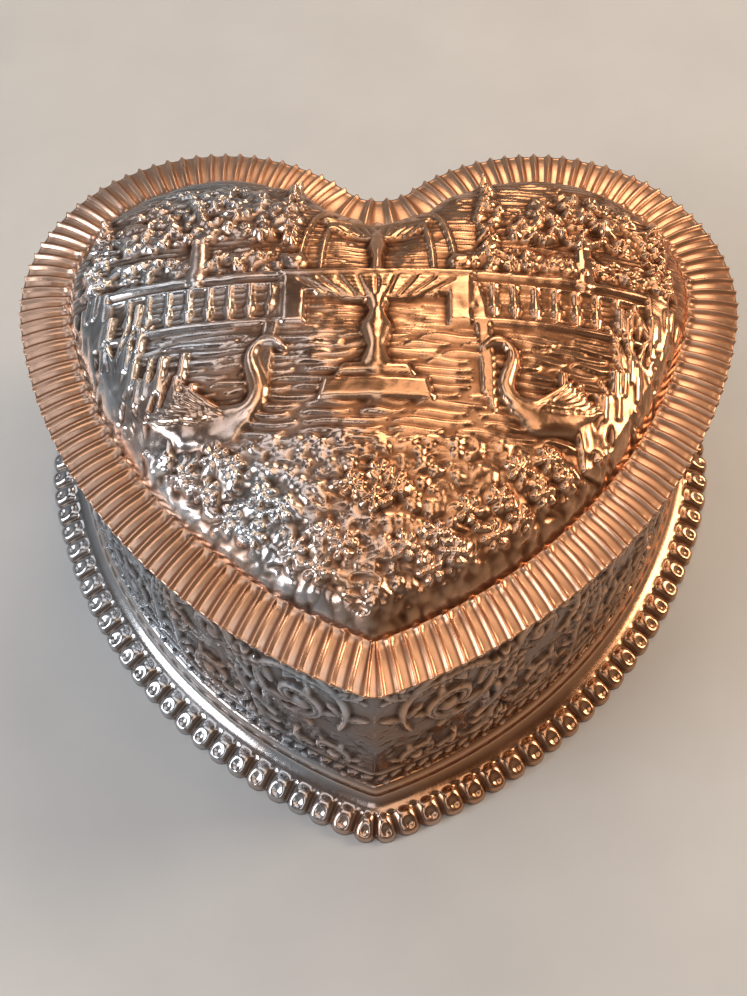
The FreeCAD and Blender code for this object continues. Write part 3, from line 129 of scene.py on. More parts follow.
# Tone of the plate, with painted light: cool on the left, warm to the right and back; then light and camera
PAINTED_LIGHT_SIDE = 8.0
PAINTED_LIGHT_BACK = 1.6
COOL = (0.86, 0.93, 1.0)
WARM = (1.0, 0.80, 0.60)
WORLD_STRENGTH = 0.6
PANELS = 9
PANEL_DISTANCE = 0.75
LAMP_AIM = (0, 0.01, 0.04)
FLOOR_HALF = 0.5
CAMERA_YAW, CAMERA_RISE, CAMERA_ROLL = 1.37, 57.96, -0.9
CAMERA_PLACE = (2.617, -141.615, 246.081)
CAMERA_LENS = 54.34


# Outlines


def heart_arcs(offset, tip):
    """Seven arcs anticlockwise from the tip's middle: centre, radius, two angles, outward sign."""
    reach = FLANK_RADIUS + offset
    tip_y = FLANK_Y - math.sqrt((reach - tip) ** 2 - FLANK_X ** 2)
    low = math.atan2(tip_y - FLANK_Y, -FLANK_X)
    notch = math.atan2(-NOTCH_Y, LOBE_X)
    lobe = LOBE_RADIUS + offset
    half = math.pi / 2
    return [
        (0.0, tip_y, tip, -half, low, 1),
        (FLANK_X, FLANK_Y, reach, low, FLANK_ANGLE, 1),
        (LOBE_X, 0.0, lobe, FLANK_ANGLE, INNER_ANGLE, 1),
        (0.0, NOTCH_Y, NOTCH_RADIUS - offset, notch, -math.pi - notch, -1),
        (-LOBE_X, 0.0, lobe, math.pi - INNER_ANGLE, math.pi - FLANK_ANGLE, 1),
        (-FLANK_X, FLANK_Y, reach, math.pi - FLANK_ANGLE, math.pi - low, 1),
        (0.0, tip_y, tip, math.pi - low, 3 * half, 1),
    ]


def stations(offset, tip, count):
    """Evenly spaced stations round a heart, as arc numbers and shares of each arc, and the heart's length."""
    lengths = np.array([radius * abs(end - start) for _, _, radius, start, end, _ in heart_arcs(offset, tip)])
    ends = np.cumsum(lengths)
    run = (np.arange(count) / count) * ends[-1]
    arc = np.minimum(np.searchsorted(ends, run, side="right"), len(lengths) - 1)
    share = (run - (ends - lengths)[arc]) / lengths[arc]
    return (arc, share), ends[-1]


def outline(offset, tip, where):
    """Points and outward directions of a heart at the stations."""
    arcs = np.array(heart_arcs(offset, tip))
    arc, share = where
    x, y, radius, start, end, sign = arcs[arc].T
    angle = start + (end - start) * share
    out = np.stack([np.cos(angle), np.sin(angle)], axis=1)
    return np.stack([x, y], axis=1) + out * radius[:, None], out * sign[:, None]


def shrunk(edge, share):
    """A heart's outline drawn in towards the lid's middle."""
    return (edge - [0, DOME_CENTRE]) * share + [0, DOME_CENTRE]


def around(offset, where):
    """Outline that keeps its distance from the wall's face all round."""
    return outline(offset, TIP_RADIUS + offset, where)


# Relief


def gauss(field, sigma):
    """Field blurred by a number of cells, through its spectrum."""
    rows, cols = field.shape
    row_wave = np.fft.fftfreq(rows)[:, None]
    col_wave = np.fft.rfftfreq(cols)[None, :]
    soften = np.exp(-2 * (math.pi * sigma) ** 2 * (row_wave ** 2 + col_wave ** 2))
    return np.fft.irfft2(np.fft.rfft2(field) * soften, s=field.shape)


class Relief:
    """Height map of an embossed sheet, raised from rounded strokes, in millimetres."""

    def __init__(self, left, bottom, width, height, cell, seed):
        self.left, self.bottom, self.cell = left, bottom, cell
        self.field = np.zeros((int(round(height / cell)) + 1, int(round(width / cell)) + 1))
        self.random = np.random.default_rng(seed)

    def window(self, x0, x1, y0, y1):
        """Part of the field that covers a box, with the places of its cells."""
        rows, cols = self.field.shape
        c0 = max(0, int((x0 - self.left) / self.cell))
        c1 = min(cols, int((x1 - self.left) / self.cell) + 2)
        r0 = max(0, int((y0 - self.bottom) / self.cell))
        r1 = min(rows, int((y1 - self.bottom) / self.cell) + 2)
        if c0 >= c1 or r0 >= r1:
            return None
        xs = self.left + self.cell * np.arange(c0, c1)
        ys = self.bottom + self.cell * np.arange(r0, r1)
        return self.field[r0:r1, c0:c1], xs[None, :], ys[:, None]

    def bar(self, a, b, radii, heights, mode="raise"):
        """One rounded bar between two points."""
        reach = max(radii)
        found = self.window(min(a[0], b[0]) - reach, max(a[0], b[0]) + reach,
                            min(a[1], b[1]) - reach, max(a[1], b[1]) + reach)
        if found is None:
            return
        view, xs, ys = found
        dx, dy = b[0] - a[0], b[1] - a[1]
        along = ((xs - a[0]) * dx + (ys - a[1]) * dy) / (dx * dx + dy * dy + 1e-12)
        along = np.clip(along, 0, 1)
        radius = radii[0] + (radii[1] - radii[0]) * along
        away = ((xs - a[0] - along * dx) ** 2 + (ys - a[1] - along * dy) ** 2) / (radius * radius + 1e-9)
        bump = np.sqrt(np.clip(1 - away, 0, 1)) * (heights[0] + (heights[1] - heights[0]) * along)
        if mode == "raise":
            np.maximum(view, bump, out=view)
        elif mode == "add":
            view += bump
        else:
            view -= bump

    def stroke(self, points, widths, heights, mode="raise"):
        """A bent bar through points; widths and heights are one number or one for each point."""
        points = np.asarray(points, float)
        radii = np.broadcast_to(np.asarray(widths, float) / 2, len(points))
        heights = np.broadcast_to(np.asarray(heights, float), len(points))
        for i in range(len(points) - 1):
            self.bar(points[i], points[i + 1], radii[i:i + 2], heights[i:i + 2], mode)

    def ball(self, x, y, radius, height, mode="raise"):
        self.bar((x, y), (x, y), (radius, radius), (height, height), mode)

    def fill(self, corners, height, edge):
        """A flat raised shape with convex corners and a rounded edge."""
        corners = np.asarray(corners, float)
        found = self.window(*np.stack([corners.min(0), corners.max(0)], axis=1).ravel())
        if found is None:
            return
        view, xs, ys = found
        inside = np.full(np.broadcast(xs, ys).shape, 1e9)
        for (x0, y0), (x1, y1) in zip(corners, np.roll(corners, -1, axis=0)):
            length = math.hypot(x1 - x0, y1 - y0)
            inside = np.minimum(inside, ((x1 - x0) * (ys - y0) - (y1 - y0) * (xs - x0)) / length)
        near = np.clip(inside / edge, 0, 1)
        np.maximum(view, height * np.sqrt(1 - (1 - near) ** 2) * (inside > 0), out=view)

    def ripple(self, size, height):
        """Unevenness left by the hammer and the press."""
        noise = gauss(self.random.standard_normal(self.field.shape), size / self.cell)
        self.field += noise * height / noise.std()

    def read(self, x, y):
        """Height between the cells."""
        rows, cols = self.field.shape
        fx = np.clip((x - self.left) / self.cell, 0, cols - 1.001)
        fy = np.clip((y - self.bottom) / self.cell, 0, rows - 1.001)
        c, r = fx.astype(int), fy.astype(int)
        u, v = fx - c, fy - r
        f = self.field
        return ((f[r, c] * (1 - u) + f[r, c + 1] * u) * (1 - v)
                + (f[r + 1, c] * (1 - u) + f[r + 1, c + 1] * u) * v)

    def depths(self, reach, full):
        """Map of how deep each cell lies: 1 in hollows, 0 on plain sheet, -1 on crests."""
        deep = Relief(self.left, self.bottom, 0, 0, self.cell, SEED)
        deep.field = np.clip((gauss(self.field, reach / self.cell) - self.field) / full, -1, 1)
        return deep


def curve(p0, p1, p2, p3, count=14):
    """Points of a cubic curve."""
    t = np.linspace(0, 1, count)[:, None]
    p0, p1, p2, p3 = (np.asarray(p, float) for p in (p0, p1, p2, p3))
    return p0 * (1 - t) ** 3 + 3 * p1 * t * (1 - t) ** 2 + 3 * p2 * t * t * (1 - t) + p3 * t ** 3


def spiral(x, y, outer, inner, start, turns, count=40):
    """Points that wind inwards about a centre; negative turns wind clockwise."""
    t = np.linspace(0, 1, count)
    radius = outer * (inner / outer) ** t
    angle = start + 2 * math.pi * turns * t
    return np.stack([x + radius * np.cos(angle), y + radius * np.sin(angle)], axis=1)


def swell(count, start, middle, end):
    """Values that run from one to another through a third."""
    t = np.linspace(0, 1, count)
    ends = start * (1 - t) ** 2 + end * t ** 2
    return ends + middle * (2 * t * (1 - t) + 0.5 * np.sin(math.pi * t))


def leaf(relief, foot, tip, bend, width, height):
    """Pointed leaf with a vein; bend moves its middle sideways."""
    foot, tip = np.asarray(foot, float), np.asarray(tip, float)
    side = np.array([foot[1] - tip[1], tip[0] - foot[0]])
    middle = (foot + tip) / 2 + side * bend
    points = curve(foot, (foot + 2 * middle) / 3, (tip + 2 * middle) / 3, tip, 10)
    t = np.linspace(0, 1, 10)
    widths = width * np.sin(math.pi * np.clip(t * 0.94 + 0.06, 0, 1)) ** 0.8 + 0.15
    relief.stroke(points, widths, height * (0.75 + 0.25 * np.sin(math.pi * t)))
    relief.stroke(points[1:-2], 0.3, height * 0.35, "cut")


def plume(relief, points, leaves, size, height):
    """Curled stem with leaves that fan out on its outer and inner side."""
    points = np.asarray(points)
    steps = np.linspace(2, len(points) - 4, leaves).astype(int)
    for number, i in enumerate(steps):
        ahead = points[i + 2] - points[i - 1]
        ahead = ahead / (np.hypot(*ahead) + 1e-9)
        for side in (1, -1):
            across = np.array([-ahead[1], ahead[0]]) * side
            grow = size * (1 - 0.55 * number / leaves)
            tip = points[i] + (ahead * 0.75 + across * 0.8) * grow
            leaf(relief, points[i], tip, -0.22 * side, grow * 0.42, height)


def blossom(relief, x, y, size, petals, height, turn=0.0):
    """Round flower with separate petals and a raised eye."""
    for petal in range(petals):
        angle = turn + 2 * math.pi * petal / petals
        out = np.array([math.cos(angle), math.sin(angle)])
        centre = np.array([x, y])
        relief.stroke([centre + out * size * 0.3, centre + out * size * 0.72], [size * 0.4, size * 0.62],
                      [height * 0.8, height])
    relief.ball(x, y, size * 0.3, height * 1.15)


def foliage(relief, x, y, width, depth, height, count, grain):
    """Clump of leaves: a soft mound covered with many small bumps."""
    rng = relief.random
    for _ in range(count // 6):
        angle = rng.uniform(0, 2 * math.pi)
        reach = math.sqrt(rng.uniform(0, 1)) * 0.75
        relief.ball(x + width * reach * math.cos(angle), y + depth * reach * math.sin(angle),
                    rng.uniform(0.32, 0.5) * depth, height * rng.uniform(0.55, 0.85))
    for _ in range(count):
        angle = rng.uniform(0, 2 * math.pi)
        reach = math.sqrt(rng.uniform(0, 1))
        relief.ball(x + width * reach * math.cos(angle), y + depth * reach * math.sin(angle),
                    rng.uniform(0.6, 1.15) * grain, rng.uniform(0.25, 0.5) * height * 0.7, "add")


# Garden scene of the lid


def sky(relief):
    """Fine level hatching of the background, with a few long clouds."""
    rng = relief.random
    for y in np.arange(-22, 24, 0.95):
        x = PICTURE_LEFT - 8 + rng.uniform(0, 8)
        while x < -PICTURE_LEFT:
            length = rng.uniform(5, 17)
            drop = rng.uniform(-0.35, 0.35)
            start = y + rng.uniform(-0.2, 0.2)
            line = [(x, start), (x + length / 2, y + drop / 3), (x + length, y + drop)]
            relief.stroke(line, [0.25, 0.6, 0.2], rng.uniform(0.2, 0.42))
            x += length + rng.uniform(0.6, 3)
    for x, y, length in CLOUDS:
        for k in range(4):
            line = curve((x - length / 2 + k * 1.5, y - k * 0.9), (x - 3, y + 1.8 - k),
                         (x + 3, y + 1.2 - k), (x + length / 2 - k, y - k * 0.7))
            relief.stroke(line, swell(14, 0.3, 1.1, 0.3), 0.45)


def balustrade(relief, left, right, y):
    """Garden railing of turned balusters between two rails, with a ball on each end post."""
    for rail, width in ((y + 9, 1.7), (y + 7.2, 0.7), (y, 1.5)):
        relief.stroke([(left, rail), (right, rail)], width, 0.7)
    for x in np.arange(left + 2, right - 1, 3.3):
        turned = [(x, y + rise) for rise in (1, 2.6, 4.4, 6.8)]
        relief.stroke(turned, [0.9, 1.9, 1.0, 1.2], [0.5, 0.8, 0.5, 0.6])
    for x in (left, right):
        relief.fill([(x - 2, y - 1), (x + 2, y - 1), (x + 2, y + 10), (x - 2, y + 10)], 0.85, 0.7)
        relief.ball(x, y + 11.6, 1.9, 1.1)


def tree(relief, x, y, height, crown):
    """Tree with a forked trunk and clumps of leaves."""
    trunk = curve((x, y), (x + 0.5, y + height * 0.4), (x, y + height * 0.6), (x, y + height))
    relief.stroke(trunk, swell(14, 3.4, 1.8, 1.2), 1.0)
    for side in (-1, 1):
        bend = (x + side * crown * 0.5, y + height * 0.7)
        end = (x + side * crown * 0.8, y + height * 0.85)
        branch = curve((x, y + height * 0.45), (x + side * 2, y + height * 0.6), bend, end)
        relief.stroke(branch, swell(14, 1.6, 0.9, 0.6), 0.8)
    for dx, dy, share in TREE_CLUMPS:
        size = crown * share
        foliage(relief, x + dx * crown, y + dy * height, size, size * 0.85, 1.2, 90, 0.75)


def cypress(relief, x, y, width, height):
    """Slim upright evergreen."""
    for k in range(9):
        share = k / 8
        girth = width * math.sin(math.pi * (0.16 + 0.8 * share)) ** 0.8
        foliage(relief, x, y + height * share, girth, height / 11, 0.95, 26, 0.6)


def bowl(relief, x, lip, reach, depth):
    """Fountain bowl seen from the side, with a rolled lip and flutes."""
    for k in range(7):
        share = k / 6
        half = reach * math.sqrt(1 - (share * 0.93) ** 2)
        y = lip - depth * share
        layer = [(x - half, y), (x, y - 0.5), (x + half, y)]
        relief.stroke(layer, [1.1, 1.7, 1.1], [0.8, 1.55 - 0.2 * share, 0.8])
    edge = [(x - reach - 0.6, lip + 0.6), (x, lip + 0.1), (x + reach + 0.6, lip + 0.6)]
    relief.stroke(edge, 1.3, [1.1, 1.7, 1.1])
    for k in range(-4, 5):
        flute = [(x + k * reach * 0.21, lip - 0.9), (x + k * reach * 0.12, lip - depth)]
        relief.stroke(flute, 0.35, 0.4, "cut")


def water(relief, x, y, side):
    """Jets on one side of a fountain, and the water that falls over its lower bowl."""
    for reach, climb, low in ((5, 3.5, 33.5), (8.5, 4.5, 21.5), (12, 5, 21.5)):
        jet = curve((x, y + 38), (x + side * reach * 0.5, y + 38 + climb), (x + side * reach, y + 36),
                    (x + side * (reach + 0.5), y + low), 18)
        relief.stroke(jet, swell(18, 0.5, 0.75, 0.5), 0.8)
    for k in range(4):
        foot_x = x + side * (15.2 + k * 0.5)
        fall = curve((x + side * (12.5 + k * 0.8), y + 20.6), (foot_x + side * 0.4, y + 17),
                     (foot_x + side, y + 8), (foot_x + side * 1.2, y - 1 - k))
        relief.stroke(fall, swell(14, 0.4, 0.7, 0.4), 0.6)


def fountain(relief, x, y):
    """Two bowls on a turned stem, with falling water."""
    relief.fill([(x - 9, y - 3), (x + 9, y - 3), (x + 8, y + 1), (x - 8, y + 1)], 1.0, 0.8)
    relief.fill([(x - 6.5, y + 1), (x + 6.5, y + 1), (x + 5, y + 3.4), (x - 5, y + 3.4)], 1.2, 0.8)
    relief.stroke([(x, y + rise) for rise in (3, 6, 10, 13, 16)], [5.4, 3.2, 5.2, 2.8, 4.4], 1.5)
    bowl(relief, x, y + 20.5, 14.5, 4.6)
    bowl(relief, x, y + 33, 8, 3)
    relief.stroke([(x, y + rise) for rise in (20, 24, 27.5, 31)], [2.6, 1.8, 3.2, 2.2], 1.5)
    relief.stroke([(x, y + rise) for rise in (33, 36, 38)], [1.6, 2.4, 0.6], 1.5)
    for side in (-1, 1):
        water(relief, x, y, side)


def swan(relief, x, y, size, facing):
    """Swimming swan with a lifted wing."""
    def place(points):
        return [(x + facing * size * px, y + size * py) for px, py in points]

    breast = place([(-6.5, 1.5), (-3, 0.2), (1.5, 0), (4.2, 1.2)])
    relief.stroke(breast, np.array([2.2, 5.6, 6.4, 4.0]) * size, 1.25)
    relief.stroke(place([(-5, 1.5), (-8.5, 3.6)]), np.array([3.0, 0.6]) * size, 0.9)
    neck = curve(*place([(4.2, 1.4), (9.4, 4.8), (2.6, 8.6), (6.2, 11.8)]), 22)
    relief.stroke(neck, swell(22, 3.0, 1.5, 1.6) * size, 1.3)
    head = curve(*place([(6.2, 11.8), (7.2, 12.6), (8.6, 12), (9.4, 10.9)]), 8)
    relief.stroke(head, np.array([1.7, 2.1, 2.3, 2.2, 1.8, 1.4, 1.0, 0.6]) * size, 1.35)
    for k in range(7):
        feather = place([(2.4 - 0.5 * k, 1.6), (-4.2 - 0.75 * k, 7.0 - 0.75 * k)])
        leaf(relief, *feather, 0.16 * facing, 1.75 * size, 1.5)
    for k in range(5):
        feather = place([(2.6 - 0.6 * k, 0.6 + 0.15 * k), (-0.8 - 0.9 * k, 2.9 - 0.25 * k)])
        leaf(relief, *feather, 0.2 * facing, 1.4 * size, 1.75)


def pond(relief):
    """Ripples between the banks."""
    rng = relief.random
    for y in np.arange(-38, -17, 1.5):
        x = -49 + rng.uniform(0, 5)
        while x < 48:
            length = rng.uniform(6, 13)
            wave = curve((x, y), (x + length * 0.3, y + 1.0), (x + length * 0.6, y - 0.8),
                         (x + length, y + 0.2), 9)
            relief.stroke(wave, swell(9, 0.3, 0.9, 0.3), rng.uniform(0.3, 0.55))
            x += length + rng.uniform(0.5, 2.5)


def reeds(relief, x, y, spread, count):
    """Bulrushes with long blades."""
    rng = relief.random
    for k in range(count):
        root = x + rng.uniform(-0.4, 0.4) * spread
        tip = root + rng.uniform(-1, 1) * spread
        high = y + rng.uniform(9, 16)
        blade = curve((root, y), (root, y + 5), ((root + tip) / 2, high - 3), (tip, high))
        relief.stroke(blade, swell(14, 1.3, 0.9, 0.3), 0.95)
        if k % 3 == 0:
            relief.stroke([(tip, high - 1), (tip + 0.3, high + 2.6)], 1.5, 1.2)


def bank(relief):
    """Grass, stones and rose bushes in front of the pond."""
    rng = relief.random
    for y in np.arange(-64, BANK_TOP, 0.9):
        x = -40 + rng.uniform(0, 4)
        while x < 40:
            length = rng.uniform(2.5, 7)
            grass = curve((x, y), (x + length * 0.3, y + 0.7), (x + length * 0.7, y + 0.5),
                          (x + length, y - 0.2), 7)
            relief.stroke(grass, swell(7, 0.3, 0.8, 0.3), rng.uniform(0.2, 0.45))
            x += length + rng.uniform(0.3, 1.2)
    for _ in range(STONES):
        y = rng.uniform(-65, BANK_TOP)
        x = rng.uniform(-1, 1) * (12 + (y + 65) * 1.3)
        size = rng.uniform(0.45, 1.3)
        relief.ball(x, y, size, size * rng.uniform(0.4, 0.7), "add" if size < 0.55 else "raise")
    for x, y, size in BUSHES:
        foliage(relief, x, y, size * 1.05, size * 0.6, 0.8, 46, 0.7)
        for k in range(4):
            angle = 1.3 + k * 1.7
            rose_x = x + size * 0.62 * math.cos(angle)
            rose_y = y + size * 0.42 * math.sin(angle)
            blossom(relief, rose_x, rose_y, 2.1, 6, 1.25, angle)


def lid_relief():
    """Height map of the whole lid picture."""
    relief = Relief(PICTURE_LEFT, PICTURE_BOTTOM, -2 * PICTURE_LEFT, 92, 0.16, SEED)
    sky(relief)
    pond(relief)
    for left, right in RAILINGS:
        balustrade(relief, left, right, RAILING_FOOT)
    for x in np.arange(17, 47, 4.2):
        for side in (-1, 1):
            foliage(relief, side * x, -2.6, 3.2, 2.6, 0.8, 40, 0.6)
    for x, y, width, height in CYPRESSES:
        cypress(relief, x, y, width, height)
    for x, y, height, crown in TREES:
        tree(relief, x, y, height, crown)
    for x, y, size in SHRUBS:
        foliage(relief, x, y, size, size * 0.8, 0.9, 70, 0.65)
    fountain(relief, 0, FOUNTAIN_FOOT)
    for x, y in REEDS:
        for side in (-1, 1):
            reeds(relief, side * x, y, 4.5, 13)
    bank(relief)
    for x, y, size, facing in SWANS:
        swan(relief, x, y, size, facing)
    relief.field = gauss(relief.field, 0.9)
    relief.ripple(1.6, 0.06)
    relief.ripple(0.5, 0.02)
    return relief


# Scrolls of the wall


def wall_cell(width, height):
    """One panel of scrolling leaves, to be mirrored round the wall."""
    relief = Relief(0, 0, width, height, 0.15, SEED + 1)
    rng = relief.random
    for _ in range(500):
        relief.ball(rng.uniform(0, width), rng.uniform(0, height), rng.uniform(0.25, 0.5), 0.1)
    scrolls = [
        (13.5, 24, 11, 1.4, 2.2, -1.75, 3.2),
        (30, 30, 9, 1.2, -0.6, 1.7, 2.8),
        (31, 13, 8.5, 1.2, 2.4, 1.6, 2.6),
        (8, 9, 6.5, 1.0, 0.4, -1.5, 2.2),
        (17, 39, 5, 0.9, 3.6, 1.4, 1.8),
        (5, 36, 5, 0.9, -0.8, -1.4, 1.8),
        (40, 22, 5.5, 0.9, 0.6, 1.4, 1.9),
    ]
    for x, y, outer, inner, start, turns, thick in scrolls:
        points = spiral(x, y, outer, inner, start, turns, 56)
        plume(relief, points[:34], 6, outer * 0.55, 0.62)
        relief.stroke(points, np.linspace(thick * 0.5, thick * 0.8, 56), 0.8)
        relief.stroke(points[4:-6], 0.4, 0.3, "cut")
        relief.ball(points[-1][0], points[-1][1], thick * 0.62, 1.0)
    links = [
        ((6, 19), (1, 30), (10, 42), (22, 36)), ((22, 20), (24, 10), (18, 3), (8, 2)),
        ((22, 22), (26, 26), (24, 38), (36, 40)), ((38, 6), (42, 10), (38, 16), (41, 28)),
        ((18, 12), (22, 16), (26, 20), (25, 23)),
    ]
    for link in links:
        points = curve(*link, 18)
        plume(relief, points, 4, 4.6, 0.6)
        relief.stroke(points, swell(18, 0.8, 1.7, 0.5), 0.7)
    for x, y, size in ((22.5, 29, 3.0), (22, 8, 2.6), (37, 36, 2.4), (11, 33, 2.0)):
        blossom(relief, x, y, size, 6, 0.95, x)
    relief.field = gauss(relief.field, 0.8)
    return relief


def wall_relief(length, height):
    """Panels mirrored along the wall, a leaf band at the foot and plain margins."""
    cell = wall_cell(length / PANEL_COUNT, height)
    pair = np.concatenate([cell.field, cell.field[:, ::-1]], axis=1)
    relief = Relief(0, 0, length, height, 0.15, SEED + 2)
    rows, cols = relief.field.shape
    spots = (np.arange(cols) * relief.cell / length * PANEL_COUNT / 2 % 1) * pair.shape[1]
    relief.field = pair[:rows, spots.astype(int)]
    ys = np.arange(rows) * relief.cell
    relief.field *= np.clip((ys - 5.2) / 1.2, 0, 1)[:, None]
    count = int(SCALLOPS * 1.5)
    for k in range(count):
        x = (k + 0.5) * length / count
        leaf(relief, (x - 0.9, 1.2), (x + 0.9, 4.4), 0.2, 1.5, 0.55)
    for k in range(SCALLOPS):
        relief.ball((k + 0.5) * length / SCALLOPS, 0.9, 0.85, 0.6)
    relief.stroke([(0, 5.2), (length, 5.2)], 0.7, 0.4)
    relief.stroke([(0, height - 1.2), (length, height - 1.2)], 1.2, 0.35)
    relief.ripple(1.4, 0.035)
    return relief


# Meshes


def new_piece(name, points, faces, body, material_slot, *nodes):
    """Mesh from points in millimetres, which moves with a body and stands for CAD nodes."""
    mesh = bpy.data.meshes.new(name)
    points = np.asarray(points, float).copy()
    points[:, 1] += HEART_Y
    mesh.from_pydata(points * MM, [], faces)
    mesh.update()
    mesh.shade_smooth()
    piece = bpy.data.objects.new(name, mesh)
    bpy.context.scene.collection.objects.link(piece)
    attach(piece, body)
    if nodes:
        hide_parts(*nodes)
    return piece


def shade(piece, name, values):
    """Store one number for each point, for its material."""
    layer = piece.data.attributes.new(name, "FLOAT", "POINT")
    layer.data.foreach_set("value", np.asarray(values, np.float32))


def ring_faces(rings, count, closed):
    """Quads between rings of points that go round; a closed set joins the last ring to the first."""
    last = rings if closed else rings - 1
    i, j = np.meshgrid(np.arange(last), np.arange(count), indexing="ij")
    k, m = (i + 1) % rings, (j + 1) % count
    corners = [i * count + j, i * count + m, k * count + m, k * count + j]
    return np.stack(corners, axis=-1).reshape(-1, 4)


def profile_ring(name, sections, body, slot, *nodes):
    """Closed band of sections round the heart, which follow one another outside then inside."""
    points = np.concatenate(sections)
    faces = ring_faces(len(sections), len(sections[0]), True).tolist()
    return new_piece(name, points, faces, body, slot, *nodes)


def level(points, z):
    return np.column_stack([points, np.broadcast_to(z, len(points))])


def body_wall():
    """Embossed wall with a sharp front edge."""
    count, rows = 1152, 104
    where, length = stations(0, TIP_RADIUS, count)
    height = WALL_HIGH.z - WALL_LOW.z
    relief = wall_relief(length, height)
    deep = relief.depths(0.7, 0.3)
    run = np.arange(count) / count * length
    points, out = around(0, where)
    inner, _ = around(-WALL_THICK, where)
    hinge = np.clip((np.abs(np.abs(points[:, 0]) - LOBE_X) - 7) / 2, 0, 1) + (points[:, 1] < 20)
    edge = np.clip(np.minimum(run, length - run) / 0.8, 0.15, 1)
    calm = np.clip(hinge, 0, 1) * edge
    sections, depths = [], []
    for share in np.linspace(0, 1, rows):
        z = height * share
        raised = (1.2 * relief.read(run, np.full(count, z)) - 0.15) * calm
        sections.append(level(points + out * raised[:, None], WALL_LOW.z + z))
        depths.append(deep.read(run, np.full(count, z)))
    for share in (1, 0.5, 0):
        sections.append(level(inner, WALL_LOW.z + height * share))
        depths.append(np.zeros(count))
    piece = profile_ring("embossed_wall", sections, "case", "silver_plate", "body_wall")
    shade(piece, "depth", np.concatenate(depths))
    return piece


def lid_rim():
    """Flat rim pressed into radial flutes, with painted shade along one side of each ridge."""
    steps = 16
    count = FLUTES * steps
    where, _ = stations(LID_OVERHANG, TIP_RADIUS + LID_OVERHANG, count)
    outer, out = around(LID_OVERHANG, where)
    inner, _ = outline(DOME_OFFSET - 0.7, DOME_TIP_RADIUS - 0.5, where)
    phase = (np.arange(count) % steps) / steps
    ridge = np.exp(-((phase - 0.5) / 0.15) ** 2)
    channel = 1 - ridge
    number = (np.arange(count) // steps) % 2
    sections, depths = [], []
    for share in np.concatenate([np.linspace(0, 0.16, 6), np.linspace(0.22, 0.94, 11), [0.97, 1.0]]):
        sunk = 0.55 * np.clip((share - 0.07) / 0.12, 0, 1)
        bulge = 0.45 * np.exp(-((share - 0.12) / 0.05) ** 2) * number * np.sin(math.pi * phase) ** 2
        crown = 0.55 * math.sin(math.pi * min(share + 0.08, 1)) - 0.1 * max(share - 0.8, 0) / 0.2
        z = RIM_TOP + crown - sunk * channel + bulge
        reach = outer + out * (-0.25 * channel[:, None] * (share > 0.9))
        sections.append(level(inner + (reach - inner) * share, z))
        # Painted shade: a dark line on the flat floor of each channel, along one side of its ridge.
        depths.append(0.55 * np.exp(-((phase - 0.24) / 0.09) ** 2) * min(1, sunk * 2))
    low = LID_LOW.z
    edge = outer + out * (-0.25 * channel[:, None])
    sections.append(level(edge + out * -0.05, low + 0.35))
    sections.append(level(edge + out * -0.4, low + 0.02))
    sections.append(level(inner, low + 0.02))
    depths += [np.zeros(count)] * 3
    piece = profile_ring("fluted_rim", sections, "lid", "silver_plate", "lid_cover")
    shade(piece, "depth", np.concatenate(depths))
    return piece


def dome_edge(x):
    """Lowest and highest y of the dome's foot at a place across."""
    arcs = heart_arcs(DOME_OFFSET, DOME_TIP_RADIUS)
    _, tip_y, tip, _, low, _ = arcs[0]
    flank_x, flank_y, reach, _, side, _ = arcs[1]
    lobe_x, _, lobe, _, inner, _ = arcs[2]
    _, notch_y, notch, _, _, _ = arcs[3]
    side_x = np.abs(x)
    bottom_flank = flank_y - np.sqrt(np.clip(reach ** 2 - (side_x - flank_x) ** 2, 0, None))
    bottom_tip = tip_y - np.sqrt(np.clip(tip ** 2 - side_x ** 2, 0, None))
    half_lobe = np.sqrt(np.clip(lobe ** 2 - (side_x - lobe_x) ** 2, 0, None))
    bottom = np.where(side_x < tip * math.cos(low), bottom_tip, bottom_flank)
    bottom = np.where(side_x > lobe_x + lobe * math.cos(side), -half_lobe, bottom)
    top_notch = notch_y - np.sqrt(np.clip(notch ** 2 - side_x ** 2, 0, None))
    top = np.where(side_x < lobe_x + lobe * math.cos(inner), top_notch, half_lobe)
    return bottom, top


def dome_share(x, y):
    """How far from the dome's middle a point lies, 1 at its foot."""
    where, _ = stations(DOME_OFFSET, DOME_TIP_RADIUS, 4000)
    points, _ = outline(DOME_OFFSET, DOME_TIP_RADIUS, where)
    angle = np.arctan2(points[:, 1] - DOME_CENTRE, points[:, 0])
    reach = np.hypot(points[:, 0], points[:, 1] - DOME_CENTRE)
    order = np.argsort(angle)
    limit = np.interp(np.arctan2(y - DOME_CENTRE, x), angle[order], reach[order], period=2 * math.pi)
    return np.clip(np.hypot(x, y - DOME_CENTRE) / limit, 0, 1)


def dome_level(share):
    """Height of the plain dome over its rim."""
    return (1 - share ** DOME_POWER) ** DOME_ROUND * DOME_HEIGHT


def dome_places():
    """Places of the dome's points in columns across the heart, then its leftmost and rightmost points."""
    half = LOBE_X + LOBE_RADIUS + DOME_OFFSET
    t = np.linspace(-1, 1, DOME_COLUMNS + 1)
    columns = half * (0.75 * t + 0.25 * np.sin(math.pi * t / 2))
    up = np.linspace(0, 1, DOME_ROWS + 1)
    up = 0.7 * up + 0.3 * (1 - np.cos(math.pi * up)) / 2
    bottom, top = dome_edge(columns[1:-1])
    x = np.repeat(columns[1:-1], DOME_ROWS + 1)
    y = (bottom[:, None] + (top - bottom)[:, None] * up[None, :]).ravel()
    return np.concatenate([x, [-half, half]]), np.concatenate([y, [0.0, 0.0]])


